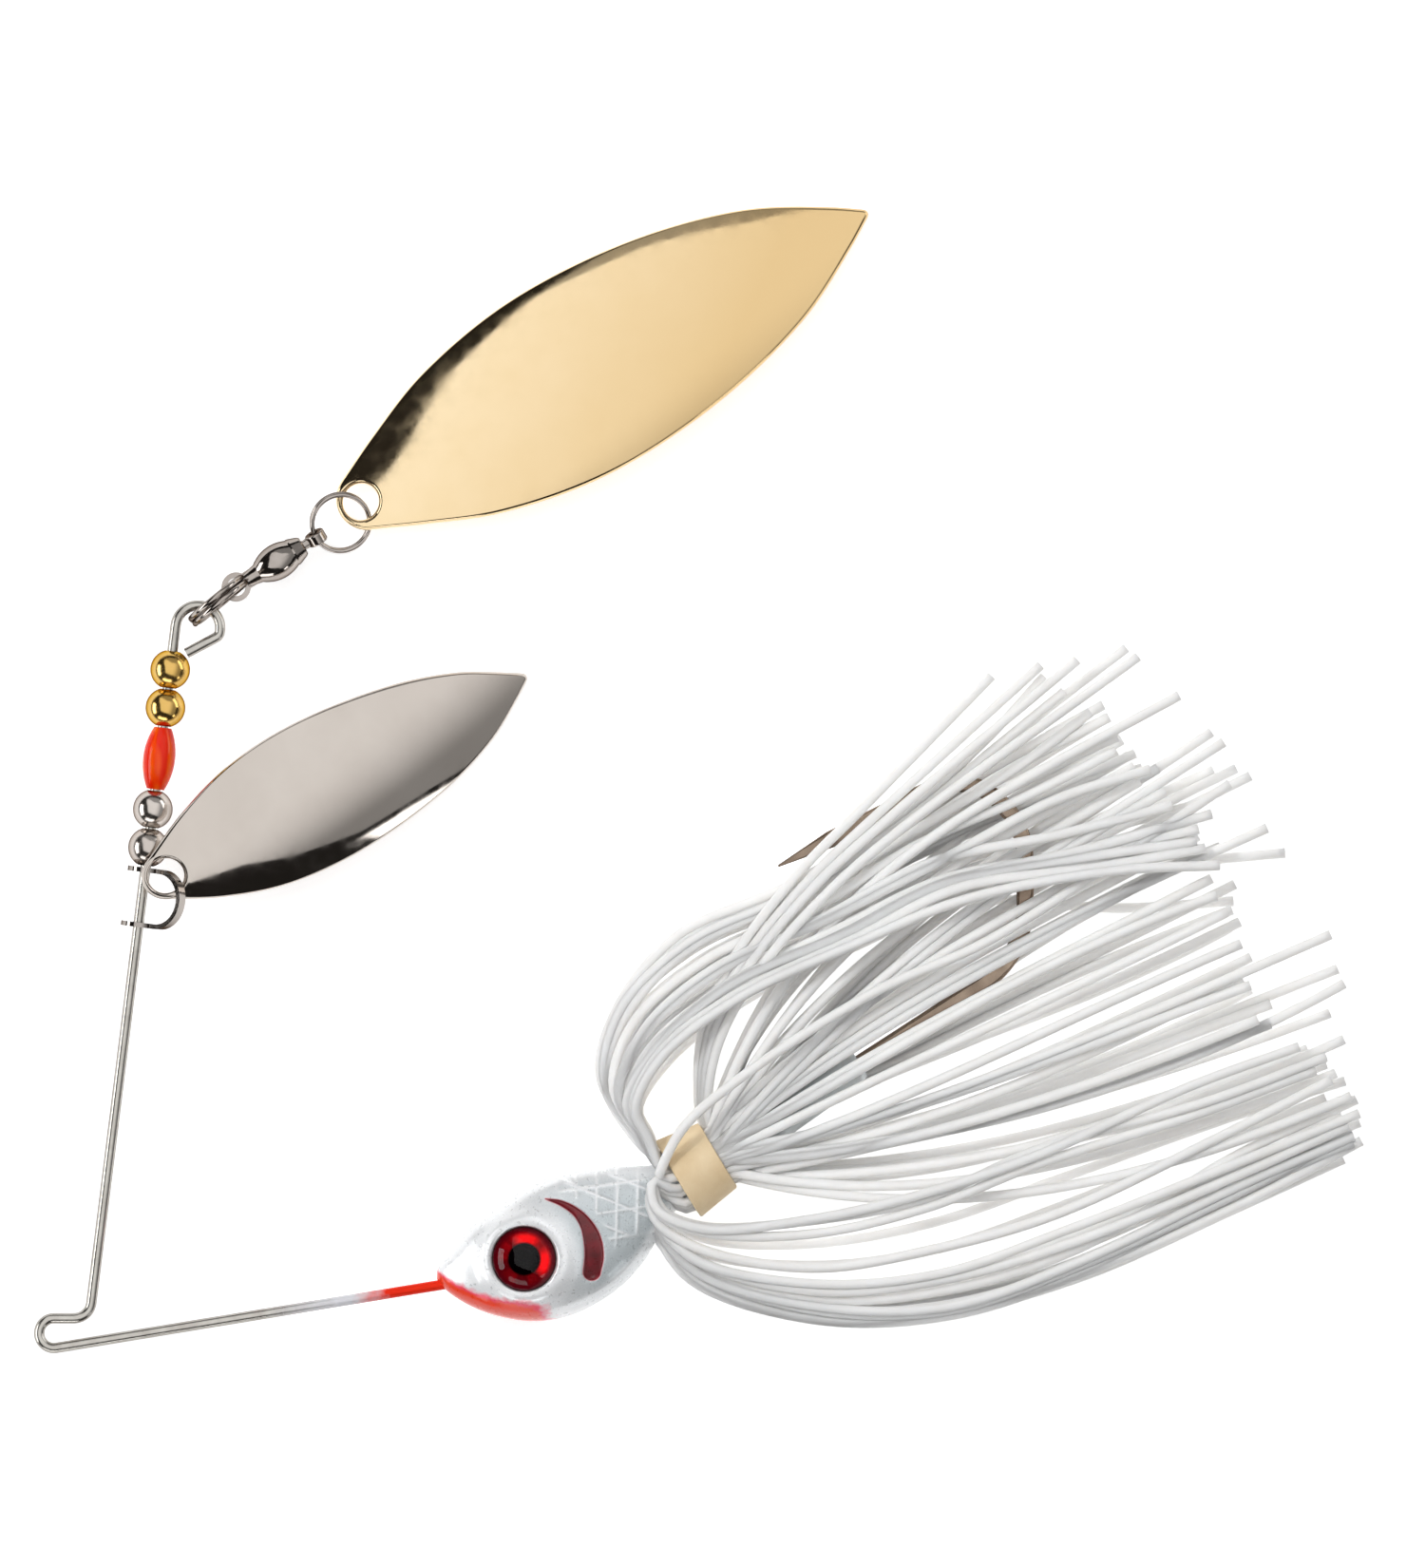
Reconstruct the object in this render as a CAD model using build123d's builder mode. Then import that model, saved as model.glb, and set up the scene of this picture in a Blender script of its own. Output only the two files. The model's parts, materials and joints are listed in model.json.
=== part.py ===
"""Tandem willow-leaf spinnerbait lying on its side, millimetres.

+X runs from the line tie to the skirt tails, +Y from the head to the blades,
+Z up. The origin is under the middle of the lure, on the surface it lies on.
"""

import os
from math import cos, radians, sin, sqrt

from build123d import *

# ---- driving dimensions -------------------------------------------------
WIRE = 0.89                       # 0.035 in stainless frame wire
WIRE_Z = 4.75                     # height of the wire's mid plane above the table
RUN_CLEARANCE = 0.06              # radial, between the wire and what turns on it

ARM_ANGLE = 82.9                  # upper arm above +X
ARM_FOOT = (-52.45, -43.13)       # a point on the upper arm, just above the line tie
LOWER_ANGLE = 9.3                 # lower arm above +X
TIE_LEVEL = -46.14                # short straight above the line-tie pocket
TIE_LEFT = -57.1                  # left side of the line-tie lobe
TIE_RADIUS = 1.25
TIE_NECK_RADIUS = 1.5
NOSE = (-22.6, -43.25)            # where the lower arm enters the head
WIRE_IN_HEAD = 9.0

LOOP_HEIGHT = 12.95               # Y of the top loop's centre
LOOP_RADIUS = 1.9
LOOP_TURN = 185.0
LOOP_TAIL_RADIUS = 0.65
LOOP_TAIL_ANGLE = 208.0
LOOP_TAIL = 2.85

BEAD_RADIUS = 1.7                 # drilled metal balls
BEAD_GAP = 0.1
BEAD_PITCH = 3.25
FIRST_BEAD = -6.0                 # Y of the lowest bead
ORANGE_LENGTH = 5.4
ORANGE_RADIUS = 1.38
ORANGE_END_RADIUS = 0.75

CLEVIS_LEVEL = -10.25             # Y of the clevis' middle on the arm
CLEVIS_ROLL = 38.0                # turn of the clevis about the arm
CLEVIS_LEG = 2.35                 # arm-wise distance from the middle to each ear
CLEVIS_REACH = 2.0                # from the arm to the centre of the bend
CLEVIS_STRAP = 0.8
CLEVIS_METAL = 0.4
CLEVIS_EAR_RADIUS = 1.5
SMALL_BLADE_ON_BEND = 62.0        # where the small blade hangs round the bend

BLADE_METAL = 0.45
SMALL_CHORD, LARGE_CHORD = 35.3, 49.7      # hole centre to tip: #3 and #4 willow leaves
SMALL_HOLE, LARGE_HOLE = 1.5, 1.55
SMALL_END, LARGE_END = 2.05, 2.1           # from the hole's centre to the blade's end
SMALL_SHOULDER, LARGE_SHOULDER = (-0.8, 1.9), (-0.7, 2.4)
TIP_HALF_WIDTH = 0.45
SMALL_CUP, LARGE_CUP = 12.5, 18.0          # radius of the cup across the blade
SMALL_ARCH, LARGE_ARCH = 78.0, 118.0       # radius of the cup along the blade
SMALL_HANG = -0.55                # strap to hole centre, away from the arm

LINK_RING_RADIUS = 2.75           # centre line of the split ring's coils
LINK_COIL_RADIUS = 0.27
LINK_DIRECTION = 39.5
LINK_CENTRE = (-41.84, 15.03)
LUG_ON_RING = -47.0               # where the barrel's lug hangs round the link ring
SWIVEL_DIRECTION = 31.8
SWIVEL_SLOPE = -6.0

LUG_THICKNESS = 0.45
LUG_RADIUS = 1.25
LUG_HOLE_RADIUS = 0.78
BARREL_END = 5.6
CAP_END = 6.75
POST_HOLE = 8.05
POST_HOLE_RADIUS = 0.43
POST_EYE_RADIUS = 0.88
POST_EYE_THICKNESS = 1.0
POST_RADIUS = 0.42
BALL_RADIUS = 0.2
BALL_COUNT = 6

BLADE_RING_RADIUS = 2.475
BLADE_RING_WIRE = 0.275
BLADE_RING_ROLL = 18.0
LARGE_BLADE_ON_RING = 15.0

HEAD_AXIS = 23.7                  # head's long axis above +X
EYE = (-15.71, -40.96)
EYE_RADIUS = 2.75
EYE_SEAT = 3.3                    # depth of the eye's flat seat from the mid plane
FOIL = 0.2
SHANK_ANGLE = 32.9
COLLAR = (-0.93, -33.25)
COLLAR_AXIS = 31.0
COLLAR_LENGTH = 4.0
COLLAR_OUTER = (3.8, 3.2)         # radii at the head's end and at the tails' end
COLLAR_INNER = (3.1, 2.55)

HOOK_WIDTH = 1.45
HOOK_THICKNESS = 1.0
SKIRT_TOP, SKIRT_TAIL_TOP = 10.2, 7.4
SKIRT_GAP = 1.1                   # from the hook's mid plane to each half of the skirt
SKIRT_TAIL_BOTTOM = 2.4           # top of the lower half at its tails
COLLAR_ROOM = 5.9                 # radius kept free round the collar
KEEPER_ROOM = 3.6                 # radius kept free round the neck and keeper
SKIRT_ENDS = (-12, 60)            # X span that holds the whole skirt
SKIRT_SIDES = (-60, 30)           # Y span that holds the whole skirt

os.makedirs("parts", exist_ok=True)


# ---- placing helpers ----------------------------------------------------
def direction(angle, slope=0.0):
    """Unit vector at an angle above +X in plan, and a slope above the horizontal."""
    flat = cos(radians(slope))
    return Vector(cos(radians(angle)) * flat, sin(radians(angle)) * flat, sin(radians(slope)))


def arm_point(level):
    """Point on the upper arm's centre line at a Y level."""
    run = (level - ARM_FOOT[1]) / sin(radians(ARM_ANGLE))
    return Vector(*ARM_FOOT, WIRE_Z) + direction(ARM_ANGLE) * run


def at_wire(point):
    return Vector(*point, WIRE_Z)


def flat(point):
    return (point.X, point.Y)


def save(piece, label):
    piece.part.label = label
    export_step(piece.part, f"parts/{label}.step")


UP = Vector(0, 0, 1)
ARM = direction(ARM_ANGLE)
ARM_SIDE = direction(ARM_ANGLE - 90)

# ---- frame wire ---------------------------------------------------------
lower = direction(LOWER_ANGLE)
nose = at_wire(NOSE)
tie_corner_x = arm_point(TIE_LEVEL).X
tie_low_y = NOSE[1] - (NOSE[0] - TIE_LEFT) * lower.Y / lower.X
loop_start = arm_point(LOOP_HEIGHT)
loop_centre = loop_start + ARM_SIDE * LOOP_RADIUS
wire_end = nose + lower * WIRE_IN_HEAD

with BuildPart() as wire_frame:
    with BuildLine():
        FilletPolyline(
            arm_point(CLEVIS_LEVEL),
            (tie_corner_x, TIE_LEVEL, WIRE_Z),
            (TIE_LEFT, TIE_LEVEL, WIRE_Z),
            (TIE_LEFT, tie_low_y, WIRE_Z),
            wire_end,
            radius=[TIE_NECK_RADIUS, TIE_RADIUS, TIE_RADIUS],
        )
        Line(arm_point(CLEVIS_LEVEL), loop_start)
        top_arc = JernArc(loop_start, ARM, LOOP_RADIUS, -LOOP_TURN)
        tail_turn = 360 - LOOP_TAIL_ANGLE + ARM_ANGLE - LOOP_TURN
        tail_arc = JernArc(top_arc @ 1, top_arc % 1, LOOP_TAIL_RADIUS, -tail_turn)
        Line(tail_arc @ 1, (tail_arc @ 1) + (tail_arc % 1) * LOOP_TAIL)
    with BuildSketch(Plane(wire_end, z_dir=lower)):
        Circle(WIRE / 2)
    sweep()
save(wire_frame, "wire_frame")

# ---- hook, its shank cast into the head ---------------------------------
shank = direction(SHANK_ANGLE)
HOOK_EYE = at_wire((-9.2, -38.68))
HOOK_EYE_RADIUS = 1.3
HOOK_CORNERS = [(27.0, -15.26), (26.9, -4.2), (22.0, 0.6)]
HOOK_RADII = [8.0, 6.3, 5.2]
HOOK_POINT = at_wire((5.9, -7.6))
HOOK_TAPER = 5.0
BARB_BACK = 7.8                   # from the point to the barb's root
BARB_LENGTH = 2.4
BARB_TIP = (13.4, -4.95)
BARB_THICKNESS = 0.5

point_run = (HOOK_POINT - at_wire(HOOK_CORNERS[-1])).normalized()
taper_start = HOOK_POINT - point_run * HOOK_TAPER
inner_side = UP.cross(point_run)

with BuildPart() as hook:
    with BuildLine():
        FilletPolyline(
            HOOK_EYE + shank * HOOK_EYE_RADIUS,
            *[at_wire(corner) for corner in HOOK_CORNERS],
            taper_start,
            radius=HOOK_RADII,
        )
    with BuildSketch(Plane(HOOK_EYE + shank * HOOK_EYE_RADIUS, x_dir=UP, z_dir=shank)):
        RectangleRounded(HOOK_THICKNESS, HOOK_WIDTH, 0.3)
    sweep()
    with BuildSketch(Plane(taper_start, x_dir=UP, z_dir=point_run)):
        RectangleRounded(HOOK_THICKNESS, HOOK_WIDTH, 0.3)
    with BuildSketch(Plane(HOOK_POINT, x_dir=UP, z_dir=point_run)):
        RectangleRounded(0.14, 0.18, 0.05)
    loft()
    with Locations(Plane(HOOK_EYE, z_dir=UP)):
        Torus(HOOK_EYE_RADIUS, HOOK_THICKNESS / 2)
    barb_root = HOOK_POINT - point_run * BARB_BACK
    barb_front = barb_root + point_run * BARB_LENGTH
    with BuildSketch(Plane.XY.offset(WIRE_Z - BARB_THICKNESS / 2)):
        with BuildLine():
            Polyline(flat(barb_front), BARB_TIP, flat(barb_root), close=True)
        make_face()
    extrude(amount=BARB_THICKNESS)
save(hook, "hook")

# ---- lead head with its neck and bait keeper ----------------------------
HEAD_STATIONS = [
    # along the axis, middle's offset, half height, half thickness
    (-0.5, 0.0, 0.75, 0.75),
    (2.0, -0.45, 3.0, 2.15),
    (6.0, -0.85, 5.15, 3.7),
    (10.5, -0.95, 5.85, 4.25),
    (15.5, -0.62, 4.95, 3.65),
    (20.6, -0.05, 2.2, 2.1),
]
NECK_RADIUS = 2.0
KEEPER_RADIUS = 1.45
KEEPER_END = 26.3                 # from the hook eye, along the shank
KEEPER_BARB = (20.3, 24.6)         # its foot and top along the shank
KEEPER_REACH = 3.1
KEEPER_BARB_THICKNESS = 1.4
EYE_RIM_WIDTH = 0.75
EYE_RIM_HEIGHT = 0.5                # above the eye's seat

head_axis = direction(HEAD_AXIS)
head_side = direction(HEAD_AXIS + 90)

with BuildPart() as lead_head:
    for along, offset, half_height, half_thickness in HEAD_STATIONS:
        middle = nose + head_axis * along + head_side * offset
        with BuildSketch(Plane(middle, x_dir=head_side, z_dir=head_axis)):
            Ellipse(half_height, half_thickness)
    loft()
    # neck under the skirt collar, drawn out into the bait keeper
    for along, radius in [(3.2, NECK_RADIUS), (14.0, NECK_RADIUS), (KEEPER_END, KEEPER_RADIUS)]:
        with BuildSketch(Plane(HOOK_EYE + shank * along, z_dir=shank)):
            Circle(radius)
    loft(ruled=True)
    barb_foot, barb_top = KEEPER_BARB
    keeper_side = UP.cross(shank)
    keeper_foot = HOOK_EYE + shank * barb_foot
    keeper_tip = keeper_foot - shank * 0.4 + keeper_side * KEEPER_REACH
    with BuildSketch(Plane.XY.offset(WIRE_Z - KEEPER_BARB_THICKNESS / 2)):
        with BuildLine():
            Polyline(flat(keeper_foot), flat(keeper_tip), flat(HOOK_EYE + shank * barb_top), close=True)
        make_face()
    extrude(amount=KEEPER_BARB_THICKNESS)
    # raised rims round the eyes, then their flat seats
    for side in (1, -1):
        rim = Plane((*EYE, WIRE_Z), z_dir=UP * side)
        with BuildSketch(rim):
            Circle(EYE_RADIUS + EYE_RIM_WIDTH)
        extrude(amount=EYE_SEAT + EYE_RIM_HEIGHT, taper=3)
        with BuildSketch(rim.offset(EYE_SEAT)):
            Circle(EYE_RADIUS + 0.03)
        extrude(amount=2.0, mode=Mode.SUBTRACT)
    add(wire_frame.part, mode=Mode.SUBTRACT)
    add(hook.part, mode=Mode.SUBTRACT)
save(lead_head, "lead_head")

# ---- eyes: printed foil under a clear dome -------------------------------
DOME_HEIGHT = WIRE_Z - EYE_SEAT - FOIL
for name, side in (("left", 1), ("right", -1)):
    seat = Plane((*EYE, WIRE_Z), z_dir=UP * side).offset(EYE_SEAT)
    with BuildPart() as eye_foil:
        with BuildSketch(seat):
            Circle(EYE_RADIUS)
        extrude(amount=FOIL)
    save(eye_foil, f"eye_foil_{name}")

    dome_radius = (EYE_RADIUS**2 + DOME_HEIGHT**2) / (2 * DOME_HEIGHT)
    base = seat.offset(FOIL)
    with BuildPart() as eye_dome:
        with Locations(base.offset(DOME_HEIGHT - dome_radius)):
            Sphere(dome_radius)
        split(bisect_by=base, keep=Keep.TOP)
    save(eye_dome, f"eye_dome_{name}")

# ---- rubber band that holds the skirt ------------------------------------
collar_axis = direction(COLLAR_AXIS)
collar_plane = Plane(at_wire(COLLAR), z_dir=collar_axis)
with BuildPart() as skirt_collar:
    for along, radius in zip((-COLLAR_LENGTH / 2, COLLAR_LENGTH / 2), COLLAR_OUTER):
        with BuildSketch(collar_plane.offset(along)):
            Circle(radius)
    loft(ruled=True)
    fillet(skirt_collar.edges().filter_by(GeomType.CIRCLE), 0.18)
    for along, radius in zip((-COLLAR_LENGTH / 2, COLLAR_LENGTH / 2), COLLAR_INNER):
        with BuildSketch(collar_plane.offset(along)):
            Circle(radius)
    loft(ruled=True, mode=Mode.SUBTRACT)
save(skirt_collar, "skirt_collar")

# ---- skirt: a plain solid above the hook and one below --------------------
SKIRT_OUTLINE = [
    (-9.3, -25.3), (-7.6, -18.2), (-2.5, -11.6), (9.5, 0.5), (28.9, 12.1), (41.0, 4.0),
    (53.0, -13.5), (57.4, -23.4), (53.0, -31.0), (31.0, -44.6), (11.6, -47.0), (2.1, -44.2),
    (-1.6, -39.6), (-0.5, -35.0), (-4.6, -28.0),
]
front, back = SKIRT_ENDS
SIDES = {
    "skirt_above_hook": [
        (front, WIRE_Z + SKIRT_GAP), (back, WIRE_Z + SKIRT_GAP), (back, SKIRT_TAIL_TOP), (14, SKIRT_TOP),
        (front, SKIRT_TOP),
    ],
    "skirt_below_hook": [(front, 0), (back, 0), (back, SKIRT_TAIL_BOTTOM), (front, WIRE_Z - SKIRT_GAP)],
}
for name, side_profile in SIDES.items():
    with BuildPart() as skirt_half:
        with BuildSketch(Plane.XY):
            with BuildLine():
                Polyline(*SKIRT_OUTLINE, close=True)
            make_face()
        extrude(amount=SKIRT_TOP + 2)
        with BuildSketch(Plane.XZ.offset(-SKIRT_SIDES[0])):
            with BuildLine():
                Polyline(*side_profile, close=True)
            make_face()
        extrude(amount=SKIRT_SIDES[0] - SKIRT_SIDES[1], mode=Mode.INTERSECT)
        # room for the collar, the neck and the keeper
        with BuildSketch(Plane(at_wire(COLLAR) - collar_axis * 9, z_dir=collar_axis)):
            Circle(COLLAR_ROOM)
        extrude(amount=12, mode=Mode.SUBTRACT)
        with BuildSketch(Plane(HOOK_EYE + shank * 5, z_dir=shank)):
            Circle(KEEPER_ROOM)
        extrude(amount=KEEPER_END - 3, mode=Mode.SUBTRACT)
    save(skirt_half, name)


# ---- beads ----------------------------------------------------------------
bore = WIRE / 2 + RUN_CLEARANCE


def round_bead(level):
    with BuildPart(Plane(arm_point(level), z_dir=ARM)) as bead:
        Sphere(BEAD_RADIUS)
        Cylinder(BEAD_RADIUS, BEAD_PITCH - BEAD_GAP, mode=Mode.INTERSECT)
        Cylinder(bore, BEAD_PITCH + 1, mode=Mode.SUBTRACT)
    return bead


save(round_bead(FIRST_BEAD), "bead_nickel_lower")
save(round_bead(FIRST_BEAD + BEAD_PITCH), "bead_nickel_upper")

orange_level = FIRST_BEAD + 1.5 * BEAD_PITCH + ORANGE_LENGTH / 2
orange_plane = Plane(arm_point(orange_level), x_dir=ARM, z_dir=UP)
half_orange = (ORANGE_LENGTH - BEAD_GAP) / 2
with BuildPart() as bead_orange:
    with BuildSketch(orange_plane):
        with BuildLine():
            Line((half_orange, ORANGE_END_RADIUS), (half_orange, bore))
            Line((half_orange, bore), (-half_orange, bore))
            Line((-half_orange, bore), (-half_orange, ORANGE_END_RADIUS))
            ThreePointArc(
                (-half_orange, ORANGE_END_RADIUS), (0, ORANGE_RADIUS), (half_orange, ORANGE_END_RADIUS)
            )
        make_face()
    revolve(axis=Axis(arm_point(orange_level), ARM))
save(bead_orange, "bead_orange")

gold_level = FIRST_BEAD + 2 * BEAD_PITCH + ORANGE_LENGTH
save(round_bead(gold_level), "bead_gold_lower")
save(round_bead(gold_level + BEAD_PITCH), "bead_gold_upper")

# ---- clevis: a strap folded into a U, its ears turning on the arm -----------
clevis_out = ARM_SIDE * cos(radians(CLEVIS_ROLL)) + UP * sin(radians(CLEVIS_ROLL))
clevis_middle = arm_point(CLEVIS_LEVEL)
clevis_plane = Plane(clevis_middle, x_dir=clevis_out, z_dir=clevis_out.cross(ARM))
with BuildPart() as clevis:
    with BuildSketch(clevis_plane.offset(-CLEVIS_STRAP / 2)):
        with BuildLine():
            Line((0, CLEVIS_LEG), (CLEVIS_REACH, CLEVIS_LEG))
            CenterArc((CLEVIS_REACH, 0), CLEVIS_LEG, -90, 180)
            Line((CLEVIS_REACH, -CLEVIS_LEG), (0, -CLEVIS_LEG))
        trace(line_width=CLEVIS_METAL)
    extrude(amount=CLEVIS_STRAP)
    for level in (CLEVIS_LEG, -CLEVIS_LEG):
        ear = Plane(clevis_middle + ARM * (level - CLEVIS_METAL / 2), z_dir=ARM)
        with BuildSketch(ear):
            Circle(CLEVIS_EAR_RADIUS)
        extrude(amount=CLEVIS_METAL)
    with BuildSketch(Plane(clevis_middle - ARM * 5, z_dir=ARM)):
        Circle(bore)
    extrude(amount=10, mode=Mode.SUBTRACT)
save(clevis, "clevis")


# ---- willow-leaf blades ------------------------------------------------------
def willow_blade(plane, chord, half_widths, hole_radius, end, shoulder, cross_radius, long_radius):
    """A cupped leaf of even thickness; the plane's origin is the hole, its X runs to the tip.

    half_widths is a list of (fraction of the chord, half width) down one side.
    """
    middle = chord / 2
    crest = long_radius - sqrt(long_radius**2 - middle**2)
    ridge = plane.from_local_coords((middle, 0, crest + BLADE_METAL / 2))
    cross = Plane(ridge, x_dir=plane.y_dir, z_dir=plane.x_dir)
    roll_centre = ridge - plane.z_dir * long_radius
    side = [(chord * fraction, half) for fraction, half in half_widths]
    tip = (chord, TIP_HALF_WIDTH)
    with BuildPart() as sheet:
        with BuildSketch(cross):
            with Locations((0, -cross_radius)):
                Circle(cross_radius)
                Circle(cross_radius - BLADE_METAL, mode=Mode.SUBTRACT)
            with Locations((0, -cross_radius * 1.4)):
                Rectangle(cross_radius * 3, cross_radius * 2, mode=Mode.SUBTRACT)
        revolve(axis=Axis(roll_centre, plane.y_dir))
        with BuildSketch(plane.offset(-8)):
            with BuildLine():
                upper_side = Spline(shoulder, *side, tip, tangents=((1.0, 0.6), (0.8, -0.6)))
                ThreePointArc(tip, (chord + 0.3, 0), (chord, -TIP_HALF_WIDTH))
                mirror(upper_side, about=Plane.XZ)
                ThreePointArc(shoulder, (-end, 0), (shoulder[0], -shoulder[1]))
            make_face()
            Circle(hole_radius, mode=Mode.SUBTRACT)
        extrude(amount=20, mode=Mode.INTERSECT)
    return sheet


bend_angle = radians(SMALL_BLADE_ON_BEND)
bend_centre = clevis_middle + clevis_out * CLEVIS_REACH
on_bend = bend_centre + (clevis_out * cos(bend_angle) + ARM * sin(bend_angle)) * CLEVIS_LEG

SMALL_DIRECTION, SMALL_SLOPE, SMALL_ROLL = 29.1, -9.5, 10.0
small_along = direction(SMALL_DIRECTION, SMALL_SLOPE)
small_level = direction(SMALL_DIRECTION + 90)
small_normal = small_along.cross(small_level)
small_across = small_level * cos(radians(SMALL_ROLL)) + small_normal * sin(radians(SMALL_ROLL))
small_plane = Plane(
    on_bend + ARM_SIDE * SMALL_HANG,
    x_dir=small_along,
    z_dir=small_along.cross(small_across),
)
SMALL_SIDE = [(0.1, 4.05), (0.25, 5.75), (0.44, 6.3), (0.7, 5.15), (0.86, 3.3), (0.945, 1.65)]
small_blade = willow_blade(
    small_plane, SMALL_CHORD, SMALL_SIDE, SMALL_HOLE, SMALL_END, SMALL_SHOULDER, SMALL_CUP, SMALL_ARCH
)
save(small_blade, "small_blade")

# ---- split ring between the loop and the swivel ------------------------------
link_axis = direction(LINK_DIRECTION + 90)
link_centre = at_wire(LINK_CENTRE)
link_out = direction(LINK_DIRECTION)
link_section = Plane(link_centre, x_dir=link_out, z_dir=link_out.cross(link_axis))
with BuildPart() as link_ring:
    with BuildSketch(link_section):
        for offset in (-1, 1):
            with Locations((LINK_RING_RADIUS, offset * LINK_COIL_RADIUS * 0.93)):
                Circle(LINK_COIL_RADIUS)
    revolve(axis=Axis(link_centre, link_axis))
save(link_ring, "link_ring")

# ---- ball-bearing swivel -------------------------------------------------------
lug_angle = radians(LUG_ON_RING)
lug_centre = link_centre + (link_out * cos(lug_angle) + UP * sin(lug_angle)) * LINK_RING_RADIUS
swivel_axis = direction(SWIVEL_DIRECTION, SWIVEL_SLOPE)
swivel_side = direction(SWIVEL_DIRECTION + 90)
swivel_up = swivel_axis.cross(swivel_side)
swivel_profile = Plane(lug_centre, x_dir=swivel_axis, z_dir=swivel_axis.cross(swivel_up))
spin = Axis(lug_centre, swivel_axis)
CAVITY = 0.95
HEAD_FACE = 4.2

with BuildPart() as swivel_barrel:
    with BuildSketch(swivel_profile):
        with BuildLine():
            Line((0.95, 0), (0.95, 0.62))
            Line((0.95, 0.62), (2.2, 0.85))
            ThreePointArc((2.2, 0.85), (3.9, 1.52), (BARREL_END, 1.2))
            Line((BARREL_END, 1.2), (BARREL_END, CAVITY))
            Line((BARREL_END, CAVITY), (3.3, CAVITY))
            Line((3.3, CAVITY), (3.3, 0))
            Line((3.3, 0), (0.95, 0))
        make_face()
    revolve(axis=spin)
    lug_face = Plane(lug_centre - swivel_up * (LUG_THICKNESS / 2), x_dir=swivel_axis, z_dir=swivel_up)
    with BuildSketch(lug_face):
        Circle(LUG_RADIUS)
        with Locations((1.0, 0)):
            Rectangle(2.0, 1.5)
        Circle(LUG_HOLE_RADIUS, mode=Mode.SUBTRACT)
    extrude(amount=LUG_THICKNESS)
save(swivel_barrel, "swivel_barrel")

with BuildPart() as swivel_cap:
    with BuildSketch(swivel_profile):
        with BuildLine():
            Polyline(
                (4.9, 0.52), (4.9, 0.93), (BARREL_END, 0.93), (BARREL_END, 1.2), (5.75, 1.24),
                (CAP_END - 0.15, 0.92), (CAP_END, 0.78), (CAP_END, 0.52), close=True,
            )
        make_face()
    revolve(axis=spin)
save(swivel_cap, "swivel_cap")

with BuildPart() as swivel_balls:
    ball_plane = Plane(lug_centre + swivel_axis * (HEAD_FACE + 0.05 + BALL_RADIUS), z_dir=swivel_axis)
    with Locations(ball_plane):
        with PolarLocations(POST_RADIUS + BALL_RADIUS + 0.04, BALL_COUNT):
            Sphere(BALL_RADIUS)
save(swivel_balls, "swivel_balls")

with BuildPart() as swivel_washer:
    with BuildSketch(Plane(lug_centre + swivel_axis * 4.7, z_dir=swivel_axis)):
        Circle(0.92)
        Circle(POST_RADIUS + 0.08, mode=Mode.SUBTRACT)
    extrude(amount=0.16)
save(swivel_washer, "swivel_washer")

post_hole = lug_centre + swivel_axis * POST_HOLE
roll = radians(BLADE_RING_ROLL)
hole_axis = swivel_side * cos(roll) + swivel_up * sin(roll)
with BuildPart() as swivel_post:
    with BuildSketch(swivel_profile):
        with BuildLine():
            Polyline(
                (3.65, 0), (3.65, 0.72), (3.8, 0.86), (HEAD_FACE, 0.86), (HEAD_FACE, POST_RADIUS),
                (POST_HOLE - 0.4, POST_RADIUS), (POST_HOLE - 0.4, 0), close=True,
            )
        make_face()
    revolve(axis=spin)
    with BuildSketch(Plane(post_hole - hole_axis * (POST_EYE_THICKNESS / 2), z_dir=hole_axis)):
        Circle(POST_EYE_RADIUS)
    extrude(amount=POST_EYE_THICKNESS)
    fillet(swivel_post.edges().filter_by(GeomType.CIRCLE).group_by(SortBy.RADIUS)[-1], 0.15)
    with BuildSketch(Plane(post_hole - hole_axis, z_dir=hole_axis)):
        Circle(POST_HOLE_RADIUS)
    extrude(amount=2, mode=Mode.SUBTRACT)
save(swivel_post, "swivel_post")

# ---- blade ring and large blade -------------------------------------------------
ring_out = direction(SWIVEL_DIRECTION)
ring_normal = ring_out.cross(hole_axis).normalized()
ring_centre = post_hole + ring_out * BLADE_RING_RADIUS
with BuildPart() as blade_ring:
    with Locations(Plane(ring_centre, x_dir=ring_out, z_dir=ring_normal)):
        Torus(BLADE_RING_RADIUS, BLADE_RING_WIRE)
save(blade_ring, "blade_ring")

ring_left = ring_normal.cross(ring_out)
hang = radians(LARGE_BLADE_ON_RING)
on_ring = ring_centre + (ring_out * cos(hang) + ring_left * sin(hang)) * BLADE_RING_RADIUS
LARGE_DIRECTION, LARGE_SLOPE, LARGE_ROLL = 29.8, -1.7, -8.0
large_along = direction(LARGE_DIRECTION, LARGE_SLOPE)
large_level = direction(LARGE_DIRECTION + 90)
large_normal = large_along.cross(large_level)
large_across = large_level * cos(radians(LARGE_ROLL)) + large_normal * sin(radians(LARGE_ROLL))
large_plane = Plane(on_ring, x_dir=large_along, z_dir=large_along.cross(large_across))
LARGE_SIDE = [(0.08, 4.6), (0.2, 7.0), (0.39, 8.7), (0.62, 8.05), (0.82, 5.45), (0.95, 2.05)]
large_blade = willow_blade(
    large_plane, LARGE_CHORD, LARGE_SIDE, LARGE_HOLE, LARGE_END, LARGE_SHOULDER, LARGE_CUP, LARGE_ARCH
)
save(large_blade, "large_blade")

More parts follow.
